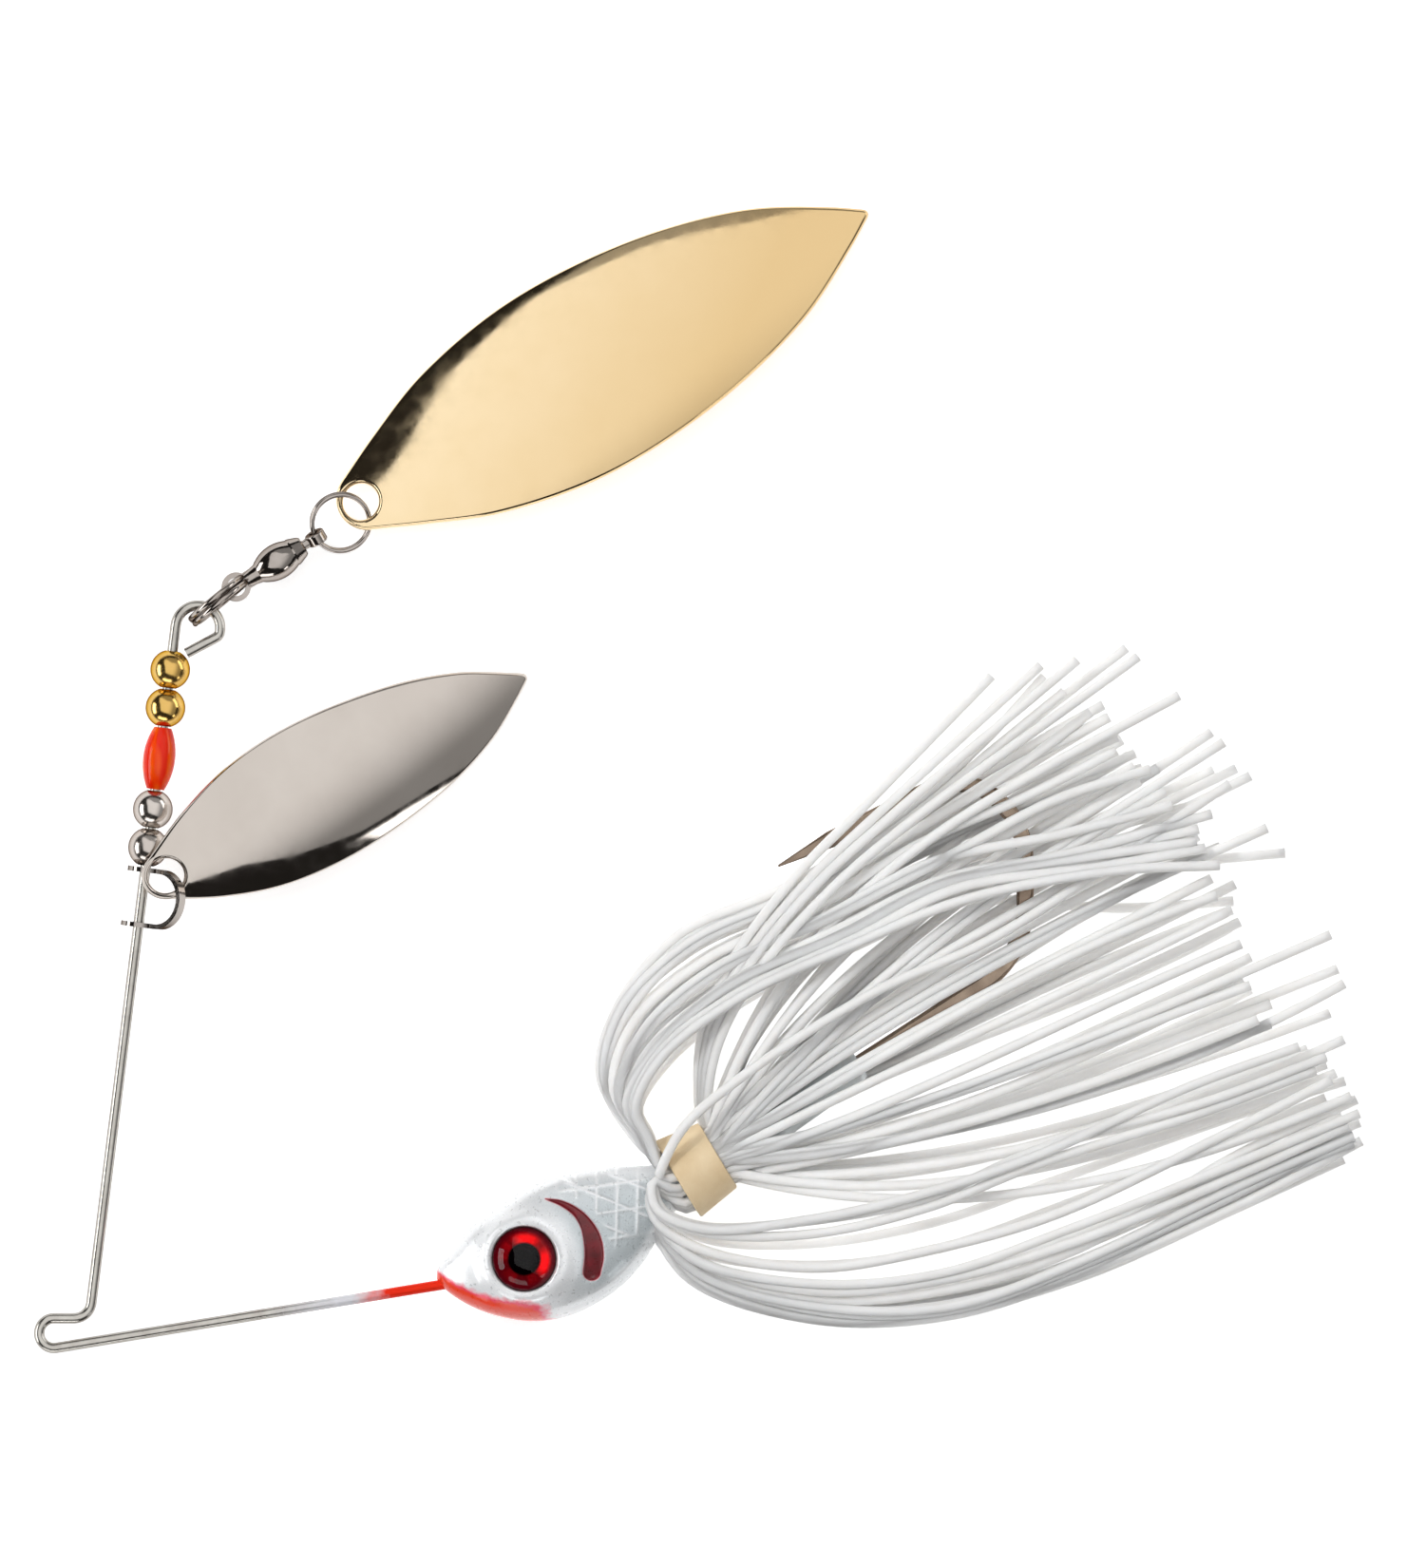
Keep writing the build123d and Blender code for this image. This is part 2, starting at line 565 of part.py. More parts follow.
# ---- joint places, for the record --------------------------------------------------
for title, place, axis in (
    ("clevis spin", clevis_middle, ARM),
    ("bead spin", arm_point(gold_level), ARM),
    ("small blade swing", bend_centre, clevis_plane.z_dir),
    ("link swing", loop_centre, UP),
    ("barrel swing", link_centre, link_axis),
    ("post spin", post_hole, swivel_axis),
    ("ring swing", post_hole, hole_axis),
    ("large blade swing", ring_centre, ring_normal),
):
    print(title, [round(v / 1000, 6) for v in place], [round(v, 6) for v in axis])
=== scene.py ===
"""Looks of the tandem willow-leaf spinnerbait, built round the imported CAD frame.

Working sizes are millimetres in the CAD's row frame; make_piece turns them into metres.
"""

import json
from math import cos, degrees, pi, radians, sin, sqrt, tau

import bpy
import numpy as np
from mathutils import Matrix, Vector, geometry


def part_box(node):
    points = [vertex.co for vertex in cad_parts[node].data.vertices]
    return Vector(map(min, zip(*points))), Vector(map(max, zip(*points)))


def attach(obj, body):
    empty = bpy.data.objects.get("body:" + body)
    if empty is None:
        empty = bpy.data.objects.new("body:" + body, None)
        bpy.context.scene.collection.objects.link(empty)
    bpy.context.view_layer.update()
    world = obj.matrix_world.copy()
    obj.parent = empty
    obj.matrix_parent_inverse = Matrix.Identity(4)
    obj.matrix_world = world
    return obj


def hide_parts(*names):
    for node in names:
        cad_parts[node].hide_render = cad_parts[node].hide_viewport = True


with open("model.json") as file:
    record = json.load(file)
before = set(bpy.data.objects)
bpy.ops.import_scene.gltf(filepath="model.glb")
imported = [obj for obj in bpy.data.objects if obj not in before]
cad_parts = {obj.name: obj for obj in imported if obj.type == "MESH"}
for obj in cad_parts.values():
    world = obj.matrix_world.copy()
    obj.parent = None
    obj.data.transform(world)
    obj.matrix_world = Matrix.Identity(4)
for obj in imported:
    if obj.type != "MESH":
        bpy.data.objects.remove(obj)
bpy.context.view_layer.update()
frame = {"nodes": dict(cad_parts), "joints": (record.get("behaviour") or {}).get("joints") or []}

MM = 0.001
rng = np.random.default_rng(516)
joints = {joint["name"]: joint for joint in frame["joints"]}
nodes = frame["nodes"]


def place(joint):
    return np.array(joints[joint]["pos_m"]) / MM


def axis_of(joint):
    return unit(joints[joint]["axis"])


def unit(vector):
    vector = np.array(vector, float)
    return vector / np.linalg.norm(vector)


def direction(angle, slope=0.0):
    flat = cos(radians(slope))
    return np.array([cos(radians(angle)) * flat, sin(radians(angle)) * flat, sin(radians(slope))])


WIRE_Z = place("link_swing")[2]   # height of the bent wire's own plane
ARM = axis_of("clevis_spin")
UP = np.array([0.0, 0.0, 1.0])
ARM_SIDE = np.cross(ARM, UP)
EYE = np.array([sum(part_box("eye_foil_left")[i][k] for i in (0, 1)) / 2 / MM for k in (0, 1)])


def smooth_step(value, low, high):
    t = np.clip((np.asarray(value, float) - low) / (high - low), 0, 1)
    return t * t * (3 - 2 * t)


# ---- camera, floor and light ------------------------------------------------
VIEW_HEIGHT = 133.65 * MM         # length that the picture's long side covers
VIEW_CENTRE = (0.3 * MM, -0.6 * MM)
CAMERA_HEIGHT = 1.1


def make_camera():
    camera = bpy.data.cameras.new("camera")
    camera.sensor_width = 36
    camera.lens = camera.sensor_width * (CAMERA_HEIGHT - WIRE_Z * MM) / VIEW_HEIGHT
    camera.clip_start, camera.clip_end = 0.05, 20
    eye = bpy.data.objects.new("camera", camera)
    eye.location = (*VIEW_CENTRE, CAMERA_HEIGHT)
    bpy.context.scene.collection.objects.link(eye)
    bpy.context.scene.camera = eye


def make_card(name, corners, bright, dim=None, way=(1, 0, 0), span=(0, 1)):
    """A glowing card; its light falls from bright to dim over span, measured along way in metres.

    No camera sees it, so that it never stands between one and the lure.
    """
    mesh = bpy.data.meshes.new(name)
    mesh.from_pydata([tuple(c) for c in corners], [], [tuple(range(len(corners)))])
    material = bpy.data.materials.new(name)
    material.use_nodes = True
    tree = material.node_tree
    tree.nodes.remove(tree.nodes["Principled BSDF"])
    glow = node(tree, "ShaderNodeEmission", Strength=bright)
    tree.links.new(glow.outputs["Emission"], tree.nodes["Material Output"].inputs["Surface"])
    if dim is not None:
        along = node(tree, "ShaderNodeVectorMath", [(0, object_place(tree))], operation="DOT_PRODUCT")
        along.inputs[1].default_value = way
        falling = spread(tree, along.outputs["Value"], bright, dim, *span)
        falling.node.interpolation_type = "SMOOTHSTEP"
        tree.links.new(falling, glow.inputs["Strength"])
    mesh.materials.append(material)
    card = bpy.data.objects.new(name, mesh)
    card.visible_camera = False
    bpy.context.scene.collection.objects.link(card)
    return card


def standing_card(name, start, end, reach, low, high, bright):
    """An upright card round the lure between two angles, which only mirrors show."""
    corners = [
        (*(direction(angle)[:2] * reach), height)
        for angle, height in ((start, low), (start, high), (end, high), (end, low))
    ]
    make_card(name, corners, bright).visible_diffuse = False


def make_light(name, kind, power, way, place=(0, 0, 0), **settings):
    """Soft light coming from way, which the polished metal doesn't mirror."""
    light = bpy.data.lights.new(name, kind)
    light.energy = power
    for key, value in settings.items():
        setattr(light, key, value)
    lamp = bpy.data.objects.new(name, light)
    lamp.location = place
    lamp.rotation_euler = Vector(way).to_track_quat("Z", "Y").to_euler()
    lamp.visible_glossy = False
    bpy.context.scene.collection.objects.link(lamp)


CEILING_HEIGHT = 1.5
CEILING_SCALE = 1.5
FLOOR_SIZE = 40
SKIRT_SHOULDER = np.array([0.004, -0.003, 0.006])     # middle of the spot's pool of light
SPOT_DISTANCE = 0.8


def ceiling_corners(outline):
    return [(x * CEILING_SCALE, y * CEILING_SCALE, CEILING_HEIGHT) for x, y in outline]


def make_stage():
    bpy.ops.mesh.primitive_plane_add(size=FLOOR_SIZE)
    floor = bpy.context.object
    floor.name = "floor"
    material, shader, _ = new_material("floor_white", (0.8, 0.8, 0.8), 0.9, Emission_Strength=0.62)
    shader.inputs["Emission Color"].default_value = (1, 1, 1, 1)
    floor.data.materials.append(material)
    world = bpy.data.worlds.new("studio")
    world.use_nodes = True
    world.node_tree.nodes["Background"].inputs["Color"].default_value = (1, 0.93, 0.86, 1)
    world.node_tree.nodes["Background"].inputs["Strength"].default_value = 0.02
    bpy.context.scene.world = world
    bpy.context.scene.view_settings.view_transform = "Standard"
    make_light("key_sun", "SUN", 1.5, direction(148, 50), angle=radians(45))
    make_light("fill_sun", "SUN", 0.12, direction(300, 45), angle=radians(60))
    way = direction(148, 55)
    make_light("skirt_spot", "SPOT", 17.0, way, SKIRT_SHOULDER + way * SPOT_DISTANCE,
               spot_size=radians(7.5), spot_blend=1.0, shadow_soft_size=0.06)
    # shaped so that the blades' cupped edges mirror what is beside it, left of it for the gold blade
    # and right of it for the nickel one
    joint_line = [(-1.3, 2.3), (-0.65, 1.85), (-0.1, 1.15), (0.22, 0.85), (2.2, 0.85)]
    outline = [(-0.5, -0.35), (-0.55, 0.25), (-0.6, 0.42), (-0.9, 1.08), *joint_line, (2.2, -0.9),
               (1.62, -1.28), (1.3, -1.5), (0.72, -1.08), (0.35, -0.72)]
    far = [(-1.0, 3.2), (2.2, 3.2), *joint_line[::-1]]
    make_card("ceiling", ceiling_corners(outline), bright=1.15, dim=0.36, way=(0.95, -0.3, 0),
              span=(0.3, 1.85))
    make_card("far_ceiling", ceiling_corners(far), bright=0.4)
    standing_card("corner_card", start=-50.5, end=-38.5, reach=2.4, low=0.55, high=0.98, bright=3.0)
    standing_card("left_card", start=158, end=208, reach=2.3, low=0.5, high=1.3, bright=5.0)
    standing_card("front_card", start=232, end=276, reach=2.3, low=0.5, high=1.2, bright=3.0)
    standing_card("right_card", start=2, end=48, reach=2.8, low=0.4, high=1.2, bright=2.6)


# ---- materials -----------------------------------------------------------------
def new_material(name, color, roughness, metallic=0.0, **sockets):
    material = bpy.data.materials.new(name)
    material.use_nodes = True
    tree = material.node_tree
    shader = tree.nodes["Principled BSDF"]
    shader.inputs["Base Color"].default_value = (*color, 1)
    shader.inputs["Roughness"].default_value = roughness
    shader.inputs["Metallic"].default_value = metallic
    for socket, value in sockets.items():
        shader.inputs[socket.replace("_", " ")].default_value = value
    return material, shader, tree


def node(tree, kind, links=(), **settings):
    """A node with settings on its sockets or itself; links are (socket, source output)."""
    made = tree.nodes.new(kind)
    for key, value in settings.items():
        socket = key.replace("_", " ")
        if socket in made.inputs:
            made.inputs[socket].default_value = value
        else:
            setattr(made, key, value)
    for socket, source in links:
        tree.links.new(source, made.inputs[socket])
    return made


def object_place(tree):
    return node(tree, "ShaderNodeTexCoord").outputs["Object"]


def noise(tree, scale, detail=3.0, stretch=None):
    where = object_place(tree)
    if stretch:
        where = node(tree, "ShaderNodeMapping", [("Vector", where)], Scale=stretch).outputs["Vector"]
    made = node(tree, "ShaderNodeTexNoise", [("Vector", where)], Scale=scale, Detail=detail)
    return made.outputs["Fac"]


def spread(tree, source, low, high, from_low=0.3, from_high=0.7):
    """source's range turned into low to high."""
    made = node(tree, "ShaderNodeMapRange", [("Value", source)],
                From_Min=from_low, From_Max=from_high, To_Min=low, To_Max=high)
    return made.outputs["Result"]


# a mix node has its sockets once for each data type; these are the colour ones
MIX_FIRST, MIX_SECOND, MIX_RESULT = 6, 7, 2


def mix(tree, factor, first, second):
    """Colour mix by an output; first and second are colours or outputs."""
    made = tree.nodes.new("ShaderNodeMix")
    made.data_type = "RGBA"
    tree.links.new(factor, made.inputs["Factor"])
    for socket, value in ((made.inputs[MIX_FIRST], first), (made.inputs[MIX_SECOND], second)):
        if isinstance(value, tuple):
            socket.default_value = (*value, 1)
        else:
            tree.links.new(value, socket)
    return made.outputs[MIX_RESULT]


def bump(tree, shader, source, distance, strength=1.0):
    made = node(tree, "ShaderNodeBump", [("Height", source)], Strength=strength, Distance=distance)
    tree.links.new(made.outputs["Normal"], shader.inputs["Normal"])


def plated_metal(name, color, tint, roughness=(0.04, 0.12), grain=60, waves=(480, 0.000002),
                 edge=(1, 1, 1)):
    """Polished plating, clouded from color to tint, with uneven polish and a very low waviness.

    waves are their scale and height, and edge tints the gloss at grazing angles.
    """
    material, shader, tree = new_material(name, color, roughness[0], 1.0, Specular_Tint=(*edge, 1))
    cloud = noise(tree, grain * 3, 4.0)
    tree.links.new(mix(tree, spread(tree, cloud, 0.0, 1.0), color, tint), shader.inputs["Base Color"])
    tree.links.new(spread(tree, noise(tree, grain * 12, 6.0), *roughness), shader.inputs["Roughness"])
    bump(tree, shader, noise(tree, waves[0], 5.0), waves[1])
    return material


def painted_reflection_falloff(material, color, way, start, end):
    """Painted reflection: turns a plating's colour towards another one along way, in metres of the
    resting frame, standing in for the dimmer light that the metal mirrors there.
    """
    tree = material.node_tree
    shader = tree.nodes["Principled BSDF"]
    plain = shader.inputs["Base Color"].links[0].from_socket
    along = node(tree, "ShaderNodeVectorMath", [(0, object_place(tree))], operation="DOT_PRODUCT")
    along.inputs[1].default_value = way
    share = spread(tree, along.outputs["Value"], 0.0, 1.0, start, end)
    tree.links.new(mix(tree, share, plain, color), shader.inputs["Base Color"])


def silicone():
    material, shader, tree = new_material(
        "white_silicone", (0.94, 0.94, 0.93), 0.38, Subsurface_Weight=0.5, Subsurface_Scale=1.0,
        Subsurface_Radius=(0.0014, 0.0013, 0.0012), Specular_IOR_Level=0.35,
    )
    cloud = noise(tree, 260, 4.0)
    color = mix(tree, spread(tree, cloud, 0.0, 1.0), (0.86, 0.85, 0.835), (0.92, 0.915, 0.905))
    tree.links.new(color, shader.inputs["Base Color"])
    tree.links.new(spread(tree, noise(tree, 1500, 5.0), 0.3, 0.5), shader.inputs["Roughness"])
    bump(tree, shader, noise(tree, 2600, 4.0), 0.00003, 0.5)
    return material


def band_rubber():
    material, shader, tree = new_material("tan_rubber", (0.86, 0.7, 0.46), 0.5, Specular_IOR_Level=0.3)
    cloud = noise(tree, 420, 5.0)
    color = mix(tree, spread(tree, cloud, 0.0, 1.0), (0.76, 0.58, 0.35), (0.84, 0.68, 0.45))
    tree.links.new(color, shader.inputs["Base Color"])
    tree.links.new(spread(tree, noise(tree, 1800, 4.0), 0.45, 0.7), shader.inputs["Roughness"])
    bump(tree, shader, noise(tree, 3200, 5.0), 0.00005)
    return material


def head_paint():
    """Pearl paint over lead; the masks of throat, gill, and grey flake with painted shade are in the
    mesh's own colours.
    """
    material, shader, tree = new_material(
        "pearl_paint", (0.8, 0.82, 0.84), 0.3, 0.15, Coat_Weight=0.5, Coat_Roughness=0.05,
        Specular_IOR_Level=0.35,
    )
    masks = node(tree, "ShaderNodeVertexColor", layer_name="paint")
    split = node(tree, "ShaderNodeSeparateColor", [("Color", masks.outputs["Color"])])
    throat, gill, flake_and_painted_shade = (split.outputs[name] for name in ("Red", "Green", "Blue"))
    flakes = node(tree, "ShaderNodeTexVoronoi", [("Vector", object_place(tree))], Scale=11000)
    flake_tone = node(tree, "ShaderNodeSeparateColor", [("Color", flakes.outputs["Color"])])
    flake_tone = flake_tone.outputs["Red"]
    cloud = spread(tree, noise(tree, 1100, 4.0), 0.0, 1.0)
    white = mix(tree, flake_tone, (0.84, 0.86, 0.88), (0.93, 0.94, 0.95))
    grey = mix(tree, flake_tone, (0.43, 0.48, 0.5), (0.62, 0.67, 0.69))
    grey = mix(tree, cloud, grey, (0.54, 0.59, 0.61))
    # grey flake paint over the pearl white, partly painted shade that is lighter on the side facing the
    # light
    shaded = mix(tree, flake_and_painted_shade, white, grey)
    edge = noise(tree, 1500, 4.0)
    frayed = node(tree, "ShaderNodeMath", [(0, throat), (1, spread(tree, edge, -0.12, 0.12))],
                  operation="ADD").outputs["Value"]
    pink = mix(tree, spread(tree, frayed, 0.0, 1.0, 0.12, 0.5), shaded, (0.95, 0.07, 0.15))
    red = mix(tree, spread(tree, frayed, 0.0, 1.0, 0.5, 0.72), pink, (0.95, 0.05, 0.008))
    rim = mix(tree, spread(tree, gill, 0.0, 1.0, 0.08, 0.25), red, (0.75, 0.3, 0.34))
    deep = mix(tree, cloud, (0.1, 0.0, 0.003), (0.19, 0.0, 0.008))
    final = mix(tree, spread(tree, gill, 0.0, 1.0, 0.35, 0.6), rim, deep)
    tree.links.new(final, shader.inputs["Base Color"])
    painted = node(tree, "ShaderNodeMath", [(0, throat), (1, gill)], operation="MAXIMUM").outputs["Value"]
    tree.links.new(spread(tree, painted, 0.3, 0.0, 0.0, 0.4), shader.inputs["Metallic"])
    tree.links.new(spread(tree, noise(tree, 2400, 4.0), 0.24, 0.4), shader.inputs["Roughness"])
    bump(tree, shader, noise(tree, 3800, 3.0), 0.00002, 0.35)
    return material


def lower_arm_wire():
    """Drawn stainless wire, with the red paint that runs out of the head along the lower arm."""
    material, shader, tree = new_material(
        "stainless_wire", (0.5, 0.48, 0.45), 0.25, 1.0, Specular_Tint=(0.12, 0.1, 0.08, 1),
    )
    where = object_place(tree)
    along = node(tree, "ShaderNodeSeparateXYZ", [("Vector", where)]).outputs["X"]
    edge = noise(tree, 900, 3.0)
    ragged = node(tree, "ShaderNodeMath", [(0, along), (1, spread(tree, edge, -0.0006, 0.0006))],
                  operation="ADD").outputs["Value"]
    nose_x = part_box("lead_head")[0].x
    red = spread(tree, ragged, 0.0, 1.0, nose_x - 0.0068, nose_x - 0.0042)
    dusted = spread(tree, ragged, 0.0, 1.0, nose_x - 0.0145, nose_x - 0.0085)
    cloud = spread(tree, noise(tree, 700, 5.0), 0.0, 1.0)
    steel = mix(tree, cloud, (0.46, 0.435, 0.4), (0.56, 0.54, 0.5))
    pale = mix(tree, dusted, steel, (0.72, 0.72, 0.76))
    tree.links.new(mix(tree, red, pale, (0.85, 0.03, 0.01)), shader.inputs["Base Color"])
    tree.links.new(spread(tree, dusted, 1.0, 0.15, 0.0, 1.0), shader.inputs["Metallic"])
    tree.links.new(spread(tree, noise(tree, 300, 2.0), 0.2, 0.26), shader.inputs["Roughness"])
    bump(tree, shader, noise(tree, 300, 1.0), 0.000002, 0.5)
    return material


def eye_print_painted_glint():
    """Foil eye: black pupil, dark red iris with painted glints on two sides, dark outer ring; the print
    glows a little as a painted glint of the foil.
    """
    material, shader, tree = new_material(
        "eye_print_painted_glint", (0.4, 0.01, 0.02), 0.3, 0.2, Specular_IOR_Level=0.1,
    )
    centre = node(tree, "ShaderNodeMapping", [("Vector", object_place(tree))], vector_type="POINT")
    centre.inputs["Location"].default_value = (-EYE[0] * MM, -EYE[1] * MM, 0)
    flat = node(tree, "ShaderNodeVectorMath", [(0, centre.outputs["Vector"])], operation="MULTIPLY")
    flat.inputs[1].default_value = (1, 1, 0)
    flat = flat.outputs["Vector"]
    reach = node(tree, "ShaderNodeVectorMath", [(0, flat)], operation="LENGTH").outputs["Value"]
    ray = node(tree, "ShaderNodeVectorMath", [(0, flat)], operation="NORMALIZE").outputs["Vector"]
    sector = node(tree, "ShaderNodeTexNoise", [("Vector", ray)], Scale=1.3, Detail=5.0).outputs["Fac"]
    iris = mix(tree, spread(tree, sector, 0.0, 1.0, 0.42, 0.6), (0.17, 0.001, 0.006), (0.4, 0.004, 0.01))
    # painted glints: the iris turns bright red towards two sides, where the foil would catch the light
    for turn, bright in ((-8, (0.9, 0.012, 0.02)), (84, (0.85, 0.008, 0.015))):
        towards = node(tree, "ShaderNodeVectorMath", [(0, ray)], operation="DOT_PRODUCT")
        towards.inputs[1].default_value = direction(turn)
        iris = mix(tree, spread(tree, towards.outputs["Value"], 0.0, 1.0, 0.72, 0.96), iris, bright)
    inner = mix(tree, spread(tree, reach, 0.0, 1.0, 0.0019, 0.00235), iris, (0.16, 0.001, 0.008))
    ring = mix(tree, spread(tree, reach, 0.0, 1.0, 0.0025, 0.0027), inner, (0.02, 0.001, 0.002))
    pupil = mix(tree, spread(tree, reach, 0.0, 1.0, 0.00122, 0.0014), (0.001, 0.0, 0.0005), ring)
    tree.links.new(pupil, shader.inputs["Base Color"])
    # painted glow: the print gives off light in its own colours, standing in for the foil's glint
    tree.links.new(pupil, shader.inputs["Emission Color"])
    shader.inputs["Emission Strength"].default_value = 0.4
    tree.links.new(spread(tree, noise(tree, 4000, 3.0), 0.15, 0.35), shader.inputs["Roughness"])
    return material


def clear_dome():
    material, shader, tree = new_material(
        "clear_dome", (1.0, 1.0, 1.0), 0.02, Transmission_Weight=1.0, IOR=1.3,
    )
    tree.links.new(spread(tree, noise(tree, 900, 3.0), 0.0, 0.03), shader.inputs["Roughness"])
    return material


def orange_plastic():
    material, shader, tree = new_material(
        "orange_plastic", (1.0, 0.1, 0.005), 0.12, Specular_IOR_Level=0.25,
        Subsurface_Weight=0.4, Subsurface_Radius=(0.002, 0.0006, 0.0002), Subsurface_Scale=1.0,
    )
    streaks = noise(tree, 1100, 1.0, stretch=(1, 0.06, 1))
    color = mix(tree, spread(tree, streaks, 0.0, 1.0, 0.4, 0.62), (0.85, 0.018, 0.0), (1.0, 0.12, 0.006))
    tree.links.new(color, shader.inputs["Base Color"])
    tree.links.new(spread(tree, noise(tree, 2000, 3.0), 0.08, 0.2), shader.inputs["Roughness"])
    bump(tree, shader, noise(tree, 1200, 2.0), 0.00002, 0.4)
    return material


# ---- mesh helpers ------------------------------------------------------------------
def make_piece(name, points, faces, body, material, slot, replaces=(), masks=None):
    mesh = bpy.data.meshes.new(name)
    mesh.from_pydata((np.asarray(points, float) * MM).tolist(), [], [list(map(int, f)) for f in faces])
    mesh.validate()
    mesh.polygons.foreach_set("use_smooth", [True] * len(mesh.polygons))
    if masks is not None:
        layer = mesh.color_attributes.new("paint", "FLOAT_COLOR", "POINT")
        layer.data.foreach_set("color", np.column_stack([masks, np.ones(len(masks))]).ravel())
    mesh.materials.append(material)
    piece = bpy.data.objects.new(name, mesh)
    bpy.context.scene.collection.objects.link(piece)
    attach(piece, body)
    if replaces:
        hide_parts(*replaces)


def joined(parts):
    """Several (points, faces) as one."""
    points, faces, count = [], [], 0
    for part_points, part_faces in parts:
        points.append(np.asarray(part_points, float))
        faces.extend([[v + count for v in face] for face in part_faces])
        count += len(part_points)
    return np.vstack(points), faces


SPAN_POINTS = 16                  # worked out between two given points of a curve


def curve_through(points, count):
    """Even points on a smooth line through the given ones (centripetal Catmull-Rom)."""
    points = np.asarray(points, float)
    ends = np.vstack([2 * points[0] - points[1], points, 2 * points[-1] - points[-2]])
    line = []
    for a, b, c, d in zip(ends, ends[1:], ends[2:], ends[3:]):
        k1 = np.linalg.norm(b - a) ** 0.5
        k2 = k1 + np.linalg.norm(c - b) ** 0.5
        k3 = k2 + np.linalg.norm(d - c) ** 0.5
        t = np.linspace(k1, k2, SPAN_POINTS, endpoint=False)[:, None]
        ab = ((k1 - t) * a + t * b) / k1
        bc = ((k2 - t) * b + (t - k1) * c) / (k2 - k1)
        cd = ((k3 - t) * c + (t - k2) * d) / (k3 - k2)
        abc = ((k2 - t) * ab + t * bc) / k2
        bcd = ((k3 - t) * bc + (t - k1) * cd) / (k3 - k1)
        line.append(((k2 - t) * abc + (t - k1) * bcd) / (k2 - k1))
    line = np.vstack(line + [points[-1:]])
    return even(line, count)


def even(line, count):
    steps = np.concatenate([[0], np.cumsum(np.linalg.norm(np.diff(line, axis=0), axis=1))])
    at = np.linspace(0, steps[-1], count)
    return np.column_stack([np.interp(at, steps, line[:, k]) for k in range(line.shape[1])])


def sleeve(rows, columns):
    """Faces of rows of points round an axis, with a lid at each end."""
    faces = []
    for row in range(rows - 1):
        near, far = row * columns, (row + 1) * columns
        for k in range(columns):
            m = (k + 1) % columns
            faces.append([near + k, near + m, far + m, far + k])
    faces.append(list(range(columns))[::-1])
    faces.append([(rows - 1) * columns + k for k in range(columns)])
    return faces


def tube(path, radius, sides, flat=None):
    """A tube along a path. flat squeezes the section: (direction, share)."""
    path = np.asarray(path, float)
    count = len(path)
    radii = np.broadcast_to(np.asarray(radius, float), (count,))
    ahead = np.gradient(path, axis=0)
    ahead = ahead / np.linalg.norm(ahead, axis=1)[:, None]
    side = np.cross(ahead[0], UP if abs(ahead[0][2]) < 0.9 else ARM)
    points = []
    around = np.arange(sides) * tau / sides
    for middle, forward, size in zip(path, ahead, radii):
        side = unit(side - forward * side.dot(forward))
        other = np.cross(forward, side)
        ring = middle + size * (np.cos(around)[:, None] * side + np.sin(around)[:, None] * other)
        if flat is not None:
            way, share = flat
            away = (ring - middle) @ way
            ring = ring - away[:, None] * way * (1 - share)
        points.append(ring)
    return np.vstack(points), sleeve(count, sides)


def lathe(profile, start, axis, segments):
    """Turns (along, radius) points about an axis; the first and last point lie on it."""
    axis = unit(axis)
    side = unit(np.cross(axis, UP if abs(axis[2]) < 0.9 else ARM))
    other = np.cross(axis, side)
    around = np.arange(segments) * tau / segments
    spokes = np.cos(around)[:, None] * side + np.sin(around)[:, None] * other
    points = np.vstack([np.asarray(start) + axis * along + spokes * radius for along, radius in profile])
    faces = []
    for i in range(len(profile) - 1):
        near, far = i * segments, (i + 1) * segments
        for k in range(segments):
            m = (k + 1) % segments
            faces.append([near + k, far + k, far + m, near + m])
    return points, faces


def arc(centre, radius, start, end, count):
    return [
        (centre[0] + radius * cos(a), centre[1] + radius * sin(a))
        for a in np.radians(np.linspace(start, end, count))
    ]


def keep_node(name, material):
    cad = nodes[name]
    cad.data.materials.clear()
    cad.data.materials.append(material)
    cad.data.polygons.foreach_set("material_index", [0] * len(cad.data.polygons))


# ---- willow-leaf blades ------------------------------------------------------------------
BLADE_METAL = 0.45                # thickness of the sheet
TIP_RADIUS = 0.45
TIP_SETBACK = 0.15                # of the tip's round from the end of the chord
TIP_TURN = 62                     # how far that round goes to each side
FLANK_POINTS, TIP_POINTS, CAP_POINTS, HOLE_POINTS = 90, 7, 18, 48
OUTLINE_STEP = 0.08               # least distance between two outline points
GRID_STEP = 0.55                  # of the points inside the outline
GRID_ROWS = 22                    # on each side of the blade's middle line
GRID_ROW_SHARE = 0.866            # of the step, between two rows
GRID_GAP = 0.28                   # from those points to the outline
# the rim's section: distance in from the edge, and height as a share of half the metal
RIM = [(0.42, 1.0), (0.32, 1.0), (0.26, 0.94), (0.22, 0.82), (0.11, 0.42), (0.05, 0.1), (0.0, -0.35),
       (0.04, -0.8), (0.12, -0.98), (0.24, -1.0), (0.42, -1.0)]


